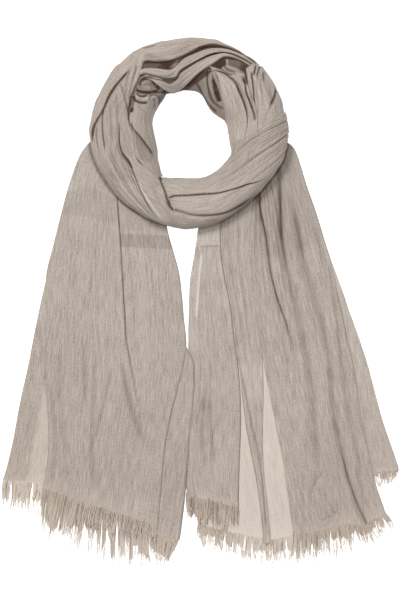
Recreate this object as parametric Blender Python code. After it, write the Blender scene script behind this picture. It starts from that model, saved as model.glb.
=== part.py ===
"""Gauze scarf, laid flat: a looped neck ring of bunched cloth and two fringed tails.

Metres, +Z up. The scarf lies on the plane z = 0, the ring towards +Y and the tails towards -Y.
Every stretch is drafted on a grid of DRAFT_UNIT, x to the right and y down the scarf, from short
tables with a row for each section or fold. Change DRAFT_UNIT to change the size of the whole scarf.
"""

import math

import bmesh
import bpy

# ---------------------------------------------------------------- driving sizes
DRAFT_UNIT = 0.00127  # metres for one unit of the draft grid
DRAFT_CENTRE = (201.5, 299.5)  # draft position of the row's origin

WALL = 0.0014  # wall of a visible stretch on the neck ring
TAIL_WALL = 0.0013  # wall of a tail panel
UNDER_TOP = 0.0013  # top of the layer that lies on the floor
LAYER_GAP = 0.0005  # air between two layers of a tail
FRINGE_WALL = 0.0010  # reach of the loose threads, through their thickness
SEAM = 0.00035  # air between pieces that meet edge to edge

RING_CENTRE = (190.0, 133.0)  # draft position of the middle of the neck opening's ring
DOME_POWER = 0.78  # below 1 the ring's section is fuller than an ellipse
CORE_SKIN = 0.0062  # from the ring's outer form down to the hidden layers' solid
CORE_TUCK = 0.0105  # further inset of that solid where the tails run in beneath the ring
TAIL_CLEAR = 0.0072  # height of the ring's rim over the tails

# ---------------------------------------------------------------- tables
# The neck ring. angle: degrees clockwise from the top; outer, inner: radii in draft units;
# crest: height of the section in mm; over_tail: 1 where a tail passes beneath the outer rim.
RING = [
    # angle, outer, inner, crest, over_tail
    (0, 95.3, 41.0, 36, 0),
    (15, 96.0, 39.4, 36, 0),
    (30, 96.0, 33.0, 36, 0),
    (45, 97.5, 30.0, 37, 0),
    (60, 97.5, 32.0, 37, 0),
    (75, 96.8, 37.0, 37, 0.2),
    (90, 96.6, 38.0, 37, 0.8),
    (105, 96.0, 41.0, 38, 1),
    (120, 92.0, 46.0, 36, 1),
    (135, 90.5, 45.5, 35, 1),
    (150, 91.3, 46.0, 34, 1),
    (165, 93.7, 46.0, 34, 1),
    (180, 94.8, 45.0, 34, 1),
    (195, 93.7, 46.0, 35, 1),
    (210, 93.7, 50.0, 36, 1),
    (225, 95.5, 43.0, 37, 1),
    (240, 97.0, 37.5, 37, 1),
    (255, 99.0, 35.5, 37, 1),
    (270, 100.0, 36.0, 37, 0.6),
    (285, 99.5, 38.6, 36, 0.1),
    (300, 99.5, 40.0, 36, 0),
    (315, 99.0, 41.0, 36, 0),
    (330, 98.0, 43.0, 36, 0),
    (345, 95.0, 41.0, 36, 0),
]

# Stretches that show on the ring. Each row is a section of the stretch, from its edge nearer the
# ring's outside to its edge nearer the neck opening. lift: mm above the ring's form.
STRETCHES = {
    # the panel over the right shoulder, which runs in beneath the front swath
    "right_shoulder_panel": [
        # outer angle, outer radius, inner angle, inner radius, lift
        (46, 97.3, 45, 79.5, 0.0),
        (56, 97.5, 53, 72.8, 0.0),
        (66, 97.2, 62, 70.0, 0.0),
        (76, 96.8, 72, 68.4, 0.0),
        (84, 96.6, 83, 66.8, 0.0),
        (91, 96.5, 92, 62.8, 0.0),
    ],
    # the swath that comes over the right edge in a fan and crosses the front
    "front_right_swath": [
        (92, 96.4, 83, 96.0, 3.3),
        (96, 96.4, 86, 85.0, 3.4),
        (101, 95.8, 91, 71.0, 3.3),
        (108, 94.8, 98, 57.5, 2.9),
        (116, 93.0, 107, 43.8, 2.0),
        (126, 91.2, 119, 46.3, 0.8),
        (138, 90.5, 134, 45.6, 0.1),
        (150, 91.3, 150, 46.0, 0.0),
        (165, 93.7, 165, 46.0, 0.0),
        (180, 94.8, 182, 45.0, 0.0),
        (194, 94.0, 198, 46.4, 0.0),
        (203, 93.8, 213, 51.0, 0.0),
    ],
    # the swath that laps over it at the front and climbs the left side
    "front_left_swath": [
        (152, 91.3, 152, 89.8, 2.2),
        (160, 92.7, 160, 88.6, 2.3),
        (169, 94.0, 169, 86.2, 2.5),
        (178, 94.7, 178, 84.0, 2.7),
        (184, 94.6, 186, 81.6, 3.1),
        (189, 94.2, 192, 80.4, 3.3),
        (194, 93.8, 197, 75.5, 3.5),
        (200, 93.6, 203, 65.0, 3.3),
        (207, 93.6, 211, 58.0, 2.9),
        (215, 94.3, 219, 54.2, 2.1),
        (226, 95.6, 230, 55.0, 0.9),
        (240, 97.0, 241, 58.8, 0.0),
        (255, 99.0, 254, 56.2, 0.0),
        (270, 100.0, 267, 55.2, 0.0),
        (285, 99.5, 284, 63.2, 0.0),
        (300, 99.5, 302, 68.6, 0.0),
        (310, 99.2, 318, 74.6, 0.0),
        (318, 98.8, 328, 87.5, 0.0),
    ],
    # the same cloth, over the top of the ring
    "outer_top_band": [
        (320, 98.6, 330.5, 85.0, 0.0),
        (330, 98.0, 336, 78.0, 0.0),
        (341, 95.8, 344, 75.5, 0.0),
        (352, 95.1, 353, 77.5, 0.0),
        (361, 95.4, 361, 82.0, 0.0),
        (368, 95.6, 368, 87.2, 0.0),
        (376, 96.0, 376, 90.0, 0.0),
        (384, 96.0, 384, 93.6, 0.0),
        (394, 96.4, 394, 95.2, 0.0),
        (403, 97.3, 403, 96.2, 0.0),
    ],
    "middle_top_band": [
        (323, 79.0, 321, 76.0, 0.0),
        (332, 72.8, 329, 66.0, 0.0),
        (342, 66.2, 336, 58.0, 0.0),
        (349, 68.5, 346, 56.0, 0.0),
        (355, 73.5, 350, 61.5, 0.0),
        (365, 80.0, 360, 67.5, 0.0),
        (373, 85.8, 368, 74.0, 0.0),
        (380, 90.2, 377, 83.0, 0.0),
        (388, 92.4, 387, 89.4, 0.0),
        (396, 93.8, 396, 91.3, 0.0),
    ],
    "inner_top_band": [
        (321, 74.8, 323, 65.0, 0.0),
        (326, 66.6, 325, 58.5, 0.0),
        (331, 60.4, 329, 50.5, 0.0),
        (337, 53.5, 334, 44.5, 0.0),
        (347, 54.4, 342, 42.8, 0.0),
        (351, 60.0, 352, 44.8, 0.0),
        (359, 65.0, 361, 51.0, 0.0),
        (368, 72.6, 371, 61.5, 0.0),
        (376, 80.4, 379, 71.8, 0.0),
        (384, 87.4, 385, 83.2, 0.0),
        (394, 90.2, 394, 88.2, 0.0),
    ],
    # the cloth behind, low in the ring under the bands
    "inner_back_wall": [
        (341, 41.9, 341, 41.3, 0.0),
        (352, 43.9, 352, 41.4, 0.0),
        (361, 50.0, 361, 41.0, 0.0),
        (371, 60.5, 371, 40.0, 0.0),
        (379, 64.0, 381, 36.5, 0.0),
        (389, 54.0, 391, 33.2, 0.0),
        (401, 47.0, 402, 31.2, 0.0),
        (413, 40.5, 414, 31.6, 0.0),
        (422, 37.2, 423, 32.8, 0.0),
        (429, 36.2, 430, 34.8, 0.0),
    ],
    # the neck of the left tail, down the left of the opening
    "inner_left_strip": [
        (313, 70.0, 325, 44.2, 0.0),
        (305, 67.4, 316, 42.2, 0.0),
        (297, 64.6, 308, 41.2, 0.0),
        (289, 62.0, 302, 40.6, 0.0),
        (280, 59.5, 289, 39.4, 0.0),
        (269, 54.0, 274, 36.7, 0.0),
        (257, 54.4, 259, 36.0, 0.0),
        (246, 56.6, 246, 36.8, 0.0),
        (235, 54.6, 234, 39.8, 0.0),
        (226, 52.6, 220, 47.0, 0.0),
    ],
    # the neck of the right tail, down the right of the opening
    "inner_right_strip": [
        (37, 66.0, 27, 61.0, 0.0),
        (43, 65.6, 34, 53.6, 0.0),
        (51, 62.6, 46, 45.6, 0.0),
        (61, 60.6, 61, 39.4, 0.0),
        (71, 59.3, 75, 37.8, 0.0),
        (82, 57.4, 89, 38.4, 0.0),
        (93, 55.2, 104, 41.2, 0.0),
    ],
    "right_shoulder_folds": [
        (43, 78.0, 41, 67.8, 0.0),
        (51, 72.4, 50, 64.6, 0.0),
        (60, 69.4, 60, 62.0, 0.0),
        (69, 67.4, 70, 60.6, 0.0),
        (79, 66.4, 81, 58.8, 0.0),
        (88, 61.4, 88, 57.4, 0.0),
    ],
    "right_inner_folds": [
        (386, 81.6, 382, 66.0, 0.0),
        (393, 86.6, 389, 68.6, 0.0),
        (399, 88.4, 396, 70.2, 0.0),
        (403, 90.6, 402, 79.6, 0.0),
    ],
}
# rows and columns of quads for each stretch
STRETCH_MESH = {
    "right_shoulder_panel": (8, 6),
    "front_right_swath": (20, 9),
    "front_left_swath": (26, 9),
    "outer_top_band": (14, 4),
    "middle_top_band": (14, 3),
    "inner_top_band": (14, 3),
    "inner_back_wall": (12, 3),
    "inner_left_strip": (12, 4),
    "inner_right_strip": (9, 4),
    "right_shoulder_folds": (7, 2),
    "right_inner_folds": (5, 2),
}
# The largest folds on those stretches. start, end: share across from the outer edge, at the first
# and the last section; rise in mm (below 0 a trough); reach: half width as a share across.
RING_FOLDS = {
    "right_shoulder_panel": [
        # start, end, rise, reach
        (0.45, 0.40, 1.4, 0.20),
    ],
    "front_right_swath": [
        (0.45, 0.28, 1.6, 0.12),
        (0.80, 0.55, -1.6, 0.09),
        (0.30, 0.10, -1.2, 0.07),
        (0.70, 0.80, 1.2, 0.14),
    ],
    "front_left_swath": [
        (0.14, 0.25, 1.5, 0.10),
        (0.50, 0.30, -1.7, 0.09),
        (0.70, 0.60, 1.6, 0.12),
    ],
    "outer_top_band": [(0.55, 0.50, 1.4, 0.25)],
    "middle_top_band": [(0.50, 0.50, 1.2, 0.30)],
    "inner_top_band": [(0.50, 0.50, 1.2, 0.30)],
    "inner_left_strip": [(0.35, 0.40, -1.6, 0.14), (0.70, 0.72, 1.0, 0.18)],
    "inner_right_strip": [(0.50, 0.45, 1.0, 0.25)],
    "right_shoulder_folds": [(0.50, 0.50, 1.4, 0.30)],
    "right_inner_folds": [(0.50, 0.50, -1.4, 0.30)],
}

# The tails. Each row is a section across a panel: its left and right ends in draft units, and how
# far its middle bows out from the ring. The first section lies beneath the ring's rim, the last is the hem.
TAILS = {
    # the whole layer that lies on the floor on the left
    "left_tail_under": [
        # left x, left y, right x, right y, bow
        (94.5, 142, 163, 212, 9),
        (83, 156, 165, 232, 12),
        (72, 184, 169, 252, 9),
        (62.5, 216, 174, 274, 5),
        (54.5, 246, 180, 297, 2),
        (47, 276, 183, 322, 0),
        (40.5, 304, 186, 345, 0),
        (34.5, 332, 193, 362, 0),
        (28, 366, 194.5, 386, 0),
        (20, 402, 192.5, 414, 0),
        (13, 440, 189, 446, 0),
        (7, 466, 186, 490, 0),
        (3, 480, 180, 540, 0),
    ],
    # the layer folded over it
    "left_tail_panel": [
        (93, 139, 165, 213, 10.5),
        (81, 153, 168, 232, 12),
        (69.5, 183, 173, 250, 9),
        (60, 218, 179, 272, 5),
        (53, 246, 182, 295, 2),
        (46, 276, 185, 318, 0),
        (45.5, 310, 187.5, 344, 0),
        (46, 345, 183, 366, 0),
        (46, 385, 177, 392, 0),
        (48, 420, 169, 425, 0),
        (48, 455, 164, 458, 0),
        (43, 488, 158, 526, 0),
    ],
    # the whole layer that lies on the floor on the right
    "right_tail_under": [
        (202, 220, 281, 144, 8),
        (198, 238, 292, 150, 12),
        (195, 258, 303, 178, 10),
        (192, 280, 316, 212, 6),
        (191, 304, 328.5, 252, 2),
        (191, 330, 343, 292, 0),
        (196.4, 360, 357, 332, 0),
        (196.6, 392, 367, 362, 0),
        (194.2, 420, 374, 388, 0),
        (191.5, 446, 382, 418, 0),
        (193.4, 480, 390, 442, 0),
        (198, 510, 397, 462, 0),
        (203.5, 526, 399, 470.5, 0),
    ],
    # the three folded-over panels on it
    "right_tail_left_panel": [
        (200, 219, 220, 214, 3),
        (197, 236, 220.6, 232, 3),
        (194, 256, 221.4, 254, 2),
        (190, 280, 225, 278, 1),
        (188.6, 310, 231, 308, 0),
        (188.8, 343, 234.5, 340, 0),
        (196.6, 366, 238, 364, 0),
        (196.8, 392, 240.6, 394, 0),
        (194.0, 420, 241, 424, 0),
        (190.5, 448, 240, 456, 0),
        (193, 476, 239, 486, 0),
        (197, 497, 239, 508, 0),
    ],
    "right_tail_fold_strip": [
        (221.4, 213, 253, 193, 2),
        (221.8, 231, 251, 216, 2),
        (222.8, 253, 250, 243, 1),
        (226.2, 277, 251, 272, 0),
        (232.2, 307, 255, 305, 0),
        (235.7, 339, 259.5, 337, 0),
        (239.2, 364, 262, 362, 0),
        (241.8, 392, 262.8, 394, 0),
        (245.6, 424, 262.4, 425, 0),
        (251.5, 456, 262.6, 456, 0),
        (257.5, 488, 265.2, 488, 0),
        (261.5, 520, 268.6, 520, 0),
        (263.5, 543, 270.6, 543, 0),
    ],
    "right_tail_main_panel": [
        (254.4, 192, 283, 141, 5),
        (252.4, 215, 295, 150, 8),
        (251.4, 242, 307, 186, 7),
        (252.4, 272, 320.5, 226, 3),
        (256.4, 304, 333, 272, 1),
        (260.9, 336, 344, 323, 0),
        (264, 364, 353, 362, 0),
        (269.5, 394, 358, 395, 0),
        (276, 426, 363, 428, 0),
        (283, 460, 370, 456, 0),
        (287.5, 492, 376, 484, 0),
        (293, 530, 386, 514, 0),
    ],
}
TAIL_MESH = {
    "left_tail_under": (13, 10),
    "left_tail_panel": (15, 20),
    "right_tail_under": (13, 14),
    "right_tail_left_panel": (13, 7),
    "right_tail_fold_strip": (13, 4),
    "right_tail_main_panel": (15, 15),
}
# How far the hem runs below the straight line between its ends. share across: drop in draft units.
HEM_DROP = {
    "left_tail_under": [(0, 0), (0.22, -13), (0.5, -12), (0.78, -6), (0.88, 2), (1, 0)],
    "left_tail_panel": [(0, 0), (0.4, 1), (1, 0)],
    "right_tail_under": [
        (0, 0),
        (0.21, 21),
        (0.36, 34),
        (0.57, 34),
        (0.71, 30),
        (0.80, 10),
        (0.86, -6),
        (1, 0),
    ],
    "right_tail_left_panel": [(0, 0), (1, 0)],
    "right_tail_fold_strip": [(0, 0), (1, 0)],
    "right_tail_main_panel": [(0, 0), (0.05, 4), (0.25, 5), (0.6, 3), (0.75, 8), (0.85, 4), (1, 0)],
}
# The tails' largest folds, as in RING_FOLDS, with the height in mm at the top and at the hem.
TAIL_FOLDS = {
    "left_tail_panel": [
        # start, end, rise at the top, rise at the hem, reach
        (0.06, 0.04, 1.0, 0.8, 0.05),
        (0.24, 0.36, 2.6, 1.2, 0.08),
        (0.50, 0.84, 3.4, 1.4, 0.06),
        (0.72, 0.62, 1.8, 1.0, 0.09),
        (0.93, 0.95, 1.6, 0.9, 0.05),
    ],
    "right_tail_left_panel": [(0.25, 0.35, 1.8, 1.0, 0.16), (0.85, 0.88, 2.4, 1.8, 0.12)],
    "right_tail_fold_strip": [(0.45, 0.50, 2.6, 1.2, 0.30)],
    "right_tail_main_panel": [
        (0.10, 0.06, 3.0, 2.0, 0.07),
        (0.34, 0.22, 2.2, 1.6, 0.09),
        (0.55, 0.50, 2.6, 2.2, 0.09),
        (0.76, 0.84, 2.4, 2.0, 0.08),
        (0.95, 0.97, 1.4, 1.0, 0.04),
    ],
}

# The fringes: plain solids of the threads' reach, from a panel's hem down to the tips.
# Rows: share across the hem, lean of the tips to the right and their drop, in draft units.
FRINGES = {
    "left_fringe_lower": (
        "left_tail_under",
        [
            # share, lean, drop
            (0.0, -1.0, 20),
            (0.22, -4.5, 30),
            (0.40, -3.0, 44),
            (0.60, -4.0, 38),
            (0.80, -4.0, 30),
            (0.90, -5.0, 24),
            (1.0, -8.0, 21),
        ],
    ),
    "left_fringe_upper": (
        "left_tail_panel",
        [(0.0, -5.0, 34), (0.15, -8.0, 36), (0.35, -5.0, 30), (0.60, -6.0, 26), (1.0, -8.0, 20)],
    ),
    "right_fringe_lower": (
        "right_tail_under",
        [(0.0, -1.0, 17), (0.20, -3.0, 14), (0.35, 0.0, 20), (0.52, 0.0, 20), (0.64, 1.0, 19)],
    ),
    "right_fringe_corner": (
        "right_tail_under",
        [(0.85, 4.0, 17), (0.94, 0.0, 14), (1.0, -3.0, 6)],
    ),
    "right_fringe_left": (
        "right_tail_left_panel",
        [(0.0, 1.0, 19), (0.35, -1.0, 22), (0.70, -1.0, 21), (1.0, -1.0, 18)],
    ),
    "right_fringe_main": (
        "right_tail_main_panel",
        [(0.0, 0.0, 25), (0.25, 1.0, 22), (0.50, 2.0, 20), (0.75, 2.0, 12), (0.90, 4.0, 9), (1.0, 7.0, 6)],
    ),
}

GAUZE = (0.48, 0.42, 0.37, 1.0)
GAUZE_EDGE = (0.60, 0.53, 0.46, 1.0)


# ---------------------------------------------------------------- shared arithmetic
def place(x, y, z=0.0):
    """A draft position and a height in metres, as a point in the row's frame."""
    return ((x - DRAFT_CENTRE[0]) * DRAFT_UNIT, (DRAFT_CENTRE[1] - y) * DRAFT_UNIT, z)


def ease(t):
    t = min(max(t, 0.0), 1.0)
    return t * t * (3 - 2 * t)


def along(rows, share):
    """The row at a share of the table's length, on a smooth curve through the rows."""
    place_at = min(max(share, 0.0), 1.0) * (len(rows) - 1)
    i = min(int(place_at), len(rows) - 2)
    t = place_at - i
    before, start, end, after = (rows[min(max(k, 0), len(rows) - 1)] for k in (i - 1, i, i + 1, i + 2))
    return [
        b + 0.5 * t * (c - a + t * (2 * a - 5 * b + 4 * c - d + t * (3 * (b - c) + d - a)))
        for a, b, c, d in zip(before, start, end, after)
    ]


def between(pairs, at):
    """Straight-line reading of a two-column table."""
    for (x0, y0), (x1, y1) in zip(pairs, pairs[1:]):
        if at <= x1:
            return y0 + (y1 - y0) * (at - x0) / (x1 - x0)
    return pairs[-1][1]


def fold_height(folds, across, down):
    """Sum of the folds at a share across and a share down, in mm."""
    total = 0.0
    for start, end, top, hem, reach in folds:
        middle = start + (end - start) * down
        total += (top + (hem - top) * down) * math.exp(-(((across - middle) / reach) ** 2))
    return total


# ---------------------------------------------------------------- the neck ring's form
def ring_at(angle):
    """(outer radius, inner radius, crest, over_tail) at an angle, with radii and crest in metres."""
    step = 360.0 / len(RING)
    turn = (angle % 360.0) / step
    i = int(turn) % len(RING)
    t = turn - int(turn)
    rows = [RING[(i + k) % len(RING)] for k in (-1, 0, 1, 2)]
    values = [
        b + 0.5 * t * (c - a + t * (2 * a - 5 * b + 4 * c - d + t * (3 * (b - c) + d - a)))
        for a, b, c, d in zip(*(row[1:] for row in rows))
    ]
    return values[0] * DRAFT_UNIT, values[1] * DRAFT_UNIT, values[2] * 0.001, min(max(values[3], 0.0), 1.0)


def section(angle, turn, inset_out=0.0, inset_in=0.0, sink=0.0, base=True):
    """(radius, height) on the ring's section; turn runs from 0 at the outer rim to pi at the inner."""
    outer, inner, crest, over_tail = ring_at(angle)
    outer, inner, crest = outer - inset_out, inner + inset_in, crest - sink
    radius = (outer + inner) / 2 + (outer - inner) / 2 * math.cos(turn)
    rim = TAIL_CLEAR * over_tail * (1 + math.cos(turn)) / 2 if base else 0.0
    return radius, rim + (crest - rim) * max(math.sin(turn), 0.0) ** DOME_POWER


def turn_of(angle, radius):
    """The section's turn at a radius in draft units."""
    outer, inner, _, _ = ring_at(angle)
    share = (radius * DRAFT_UNIT - (outer + inner) / 2) / ((outer - inner) / 2)
    return math.acos(min(max(share, -1.0), 1.0))


def on_ring(angle, turn, lift):
    """A point on the ring's form, moved out along the section's normal by lift metres."""
    radius, height = section(angle, turn)
    r0, z0 = section(angle, max(turn - 0.03, 0.0))
    r1, z1 = section(angle, min(turn + 0.03, math.pi))
    slope = math.hypot(r1 - r0, z1 - z0)
    radius += (z1 - z0) / slope * lift
    height += (r0 - r1) / slope * lift
    a = math.radians(angle)
    x, y, _ = place(*RING_CENTRE)
    return (x + radius * math.sin(a), y + radius * math.cos(a), max(height, 0.0))


# ---------------------------------------------------------------- meshes
def slab(name, upper, lower, colour):
    """A closed wall between two grids of points with the same rows and columns."""
    rows, cols = len(upper), len(upper[0])
    bm = bmesh.new()
    top = [[bm.verts.new(p) for p in row] for row in upper]
    low = [[bm.verts.new(p) for p in row] for row in lower]
    for i in range(rows - 1):
        for j in range(cols - 1):
            bm.faces.new((top[i][j], top[i][j + 1], top[i + 1][j + 1], top[i + 1][j]))
            bm.faces.new((low[i][j], low[i + 1][j], low[i + 1][j + 1], low[i][j + 1]))
    rim = (
        [(i, 0) for i in range(rows)]
        + [(rows - 1, j) for j in range(1, cols)]
        + [(i, cols - 1) for i in range(rows - 2, -1, -1)]
        + [(0, j) for j in range(cols - 2, 0, -1)]
    )
    for (i, j), (k, m) in zip(rim, rim[1:] + rim[:1]):
        bm.faces.new((top[i][j], top[k][m], low[k][m], low[i][j]))
    finish(name, bm, colour)


def finish(name, bm, colour):
    # each quad is split the same way on both sides, so neighbouring layers keep their distance
    bmesh.ops.recalc_face_normals(bm, faces=bm.faces)
    mesh = bpy.data.meshes.new(name)
    bm.to_mesh(mesh)
    bm.free()
    mesh.shade_smooth()
    mesh.set_sharp_from_angle(angle=math.radians(50))
    material = bpy.data.materials.new(name + "_cloth")
    material.use_nodes = True
    shader = material.node_tree.nodes["Principled BSDF"]
    shader.inputs["Base Color"].default_value = colour
    shader.inputs["Roughness"].default_value = 0.9
    shader.inputs["Metallic"].default_value = 0.0
    mesh.materials.append(material)
    obj = bpy.data.objects.new(name, mesh)
    bpy.context.scene.collection.objects.link(obj)


def make_core(name, steps=48, cols=9):
    """The ring's hidden layers as one rounded solid with a flat underside."""
    bm = bmesh.new()
    x, y, _ = place(*RING_CENTRE)
    loops = []
    for i in range(steps):
        angle = 360.0 * i / steps
        tuck = CORE_TUCK * ring_at(angle)[3]
        a = math.radians(angle)
        loop = []
        for j in range(cols + 1):
            r, z = section(angle, math.pi * j / cols, CORE_SKIN + tuck, CORE_SKIN * 0.8, CORE_SKIN, base=False)
            loop.append(bm.verts.new((x + r * math.sin(a), y + r * math.cos(a), z if 0 < j < cols else 0.0)))
        loops.append(loop)
    for one, two in zip(loops, loops[1:] + loops[:1]):
        for j in range(cols):
            bm.faces.new((one[j], one[j + 1], two[j + 1], two[j]))
        bm.faces.new((one[cols], one[0], two[0], two[cols]))
    finish(name, bm, GAUZE)


def make_stretch(name):
    rows, cols = STRETCH_MESH[name]
    upper, lower = [], []
    for i in range(rows + 1):
        down = i / rows
        out_angle, out_r, in_angle, in_r, lift = along(STRETCHES[name], down)
        first, last = turn_of(out_angle, out_r), turn_of(in_angle, in_r)
        fade = min(1.0, 6 * down, 6 * (1 - down))
        top_row, low_row = [], []
        for j in range(cols + 1):
            across = j / cols
            angle = out_angle + (in_angle - out_angle) * across
            turn = first + (last - first) * across
            folds = [(s, e, h, h, w) for s, e, h, w in RING_FOLDS.get(name, [])]
            edge = min(1.0, 5 * across, 5 * (1 - across))
            out = (lift + fade * edge * fold_height(folds, across, down)) * 0.001
            top_row.append(on_ring(angle, turn, out))
            low_row.append(on_ring(angle, turn, out - WALL))
        upper.append(top_row)
        lower.append(low_row)
    slab(name, upper, lower, GAUZE)


def tail_point(name, across, down):
    """Plan position of a share across and down a tail panel, in draft units."""
    x0, y0, x1, y1, bow = along(TAILS[name], down)
    dx, dy = x1 - x0, y1 - y0
    size = math.hypot(dx, dy)
    out = bow * 4 * across * (1 - across)
    drop = between(HEM_DROP[name], across) * ease((down - 0.85) / 0.15)
    return x0 + dx * across - dy / size * out, y0 + dy * across + dx / size * out + drop


def make_tail(name):
    rows, cols = TAIL_MESH[name]
    on_floor = name.endswith("under")
    upper, lower = [], []
    for i in range(rows + 1):
        down = i / rows
        top_row, low_row = [], []
        for j in range(cols + 1):
            across = j / cols
            x, y = tail_point(name, across, down)
            if on_floor:
                low, high = 0.0, UNDER_TOP
            else:
                rise = fold_height(TAIL_FOLDS[name], across, down) * ease((down - 0.04) / 0.16)
                low = UNDER_TOP + LAYER_GAP + rise * 0.001
                high = low + TAIL_WALL
            top_row.append(place(x, y, high))
            low_row.append(place(x, y, low))
        upper.append(top_row)
        lower.append(low_row)
    slab(name, upper, lower, GAUZE)


def make_fringe(name, cols=3):
    """A slab that hangs from a panel's hem, on that panel's own columns."""
    panel, table = FRINGES[name]
    steps = TAIL_MESH[panel][1]
    start = 0.0 if panel.endswith("under") else UNDER_TOP + LAYER_GAP
    shares = [j / steps for j in range(steps + 1) if table[0][0] <= j / steps + 1e-9 and j / steps <= table[-1][0] + 1e-9]
    upper, lower = [], []
    for share in shares:
        x, y = tail_point(panel, share, 1.0)
        y += SEAM / DRAFT_UNIT * 1.5
        lean = between([row[:2] for row in table], share)
        drop = between([(row[0], row[2]) for row in table], share)
        top_row, low_row = [], []
        for j in range(cols + 1):
            t = j / cols
            low = start * (1 - 0.2 * t)
            high = low + FRINGE_WALL * (1 - 0.4 * t)
            top_row.append(place(x + lean * t, y + drop * t, high))
            low_row.append(place(x + lean * t, y + drop * t, low))
        upper.append(top_row)
        lower.append(low_row)
    slab(name, upper, lower, GAUZE_EDGE)


# ---------------------------------------------------------------- the scarf
for old in list(bpy.data.objects):
    bpy.data.objects.remove(old, do_unlink=True)

make_core("neck_loop_core")
for stretch in STRETCHES:
    make_stretch(stretch)
for tail in TAILS:
    make_tail(tail)
for fringe in FRINGES:
    make_fringe(fringe)
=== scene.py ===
"""Looks of the gauze scarf: thin crinkled shells on the solids' forms, thread fringes, floor, light and camera.

Plan positions are on the same draft grid as the solids (x right, y down, one unit is U metres); heights are in mm
until the last step, which turns everything into metres in the row's frame.
"""

import math

import bpy
import numpy as np
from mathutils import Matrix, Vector


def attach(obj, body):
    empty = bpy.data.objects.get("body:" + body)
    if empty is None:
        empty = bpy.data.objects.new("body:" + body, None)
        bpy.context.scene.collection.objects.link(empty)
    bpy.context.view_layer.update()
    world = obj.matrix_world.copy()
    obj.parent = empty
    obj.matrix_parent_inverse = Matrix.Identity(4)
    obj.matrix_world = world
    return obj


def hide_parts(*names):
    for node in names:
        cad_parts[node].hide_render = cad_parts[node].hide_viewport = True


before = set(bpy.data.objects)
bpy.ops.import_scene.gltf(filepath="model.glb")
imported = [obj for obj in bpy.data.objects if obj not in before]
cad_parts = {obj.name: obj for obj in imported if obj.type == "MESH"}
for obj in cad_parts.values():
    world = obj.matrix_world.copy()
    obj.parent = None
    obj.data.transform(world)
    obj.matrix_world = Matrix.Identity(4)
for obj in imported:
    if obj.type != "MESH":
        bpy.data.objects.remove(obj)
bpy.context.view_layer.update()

U = 0.00127
CX, CY = 201.5, 299.5
RING_X, RING_Y = 190.0, 133.0
DOME_POWER = 0.78
TAIL_CLEAR = 7.2  # mm, the ring's rim above the tails


# ------------------------------------------------------------------ arithmetic
def catmull(rows, t):
    rows = np.asarray(rows, float)
    n = len(rows)
    f = np.clip(t, 0, 1) * (n - 1)
    i = np.minimum(f.astype(int), n - 2)
    t = (f - i)[:, None]
    a, b, c, d = rows[np.maximum(i - 1, 0)], rows[i], rows[i + 1], rows[np.minimum(i + 2, n - 1)]
    return b + 0.5 * t * (c - a + t * (2 * a - 5 * b + 4 * c - d + t * (3 * (b - c) + d - a)))


def ease(t):
    t = np.clip(t, 0, 1)
    return t * t * (3 - 2 * t)


def lattice(i, j, seed):
    n = (i * 374761393 + j * 668265263 + seed * 1442695041) & 0xFFFFFFFF
    n = ((n ^ (n >> 13)) * 1274126177) & 0xFFFFFFFF
    n = n ^ (n >> 16)
    return n / 2147483647.5 - 1


def noise(x, y, seed):
    """Smooth noise from -1 to 1, the same each time."""
    xi, yi = np.floor(x).astype(np.int64), np.floor(y).astype(np.int64)
    xf, yf = x - xi, y - yi
    u, v = xf * xf * (3 - 2 * xf), yf * yf * (3 - 2 * yf)
    a = lattice(xi, yi, seed) * (1 - u) + lattice(xi + 1, yi, seed) * u
    b = lattice(xi, yi + 1, seed) * (1 - u) + lattice(xi + 1, yi + 1, seed) * u
    return a * (1 - v) + b * v


def smooth_line(points, step=1.5):
    points = np.asarray(points, float)
    if len(points) == 2:
        points = np.array([points[0], points.mean(0), points[1]])
    fine = catmull(points, np.linspace(0, 1, 12 * len(points)))
    along = np.r_[0, np.cumsum(np.hypot(*np.diff(fine, axis=0).T))]
    at = np.linspace(0, along[-1], max(4, int(along[-1] / step) + 1))
    return np.stack([np.interp(at, along, fine[:, k]) for k in (0, 1)], 1), along[-1]


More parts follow.
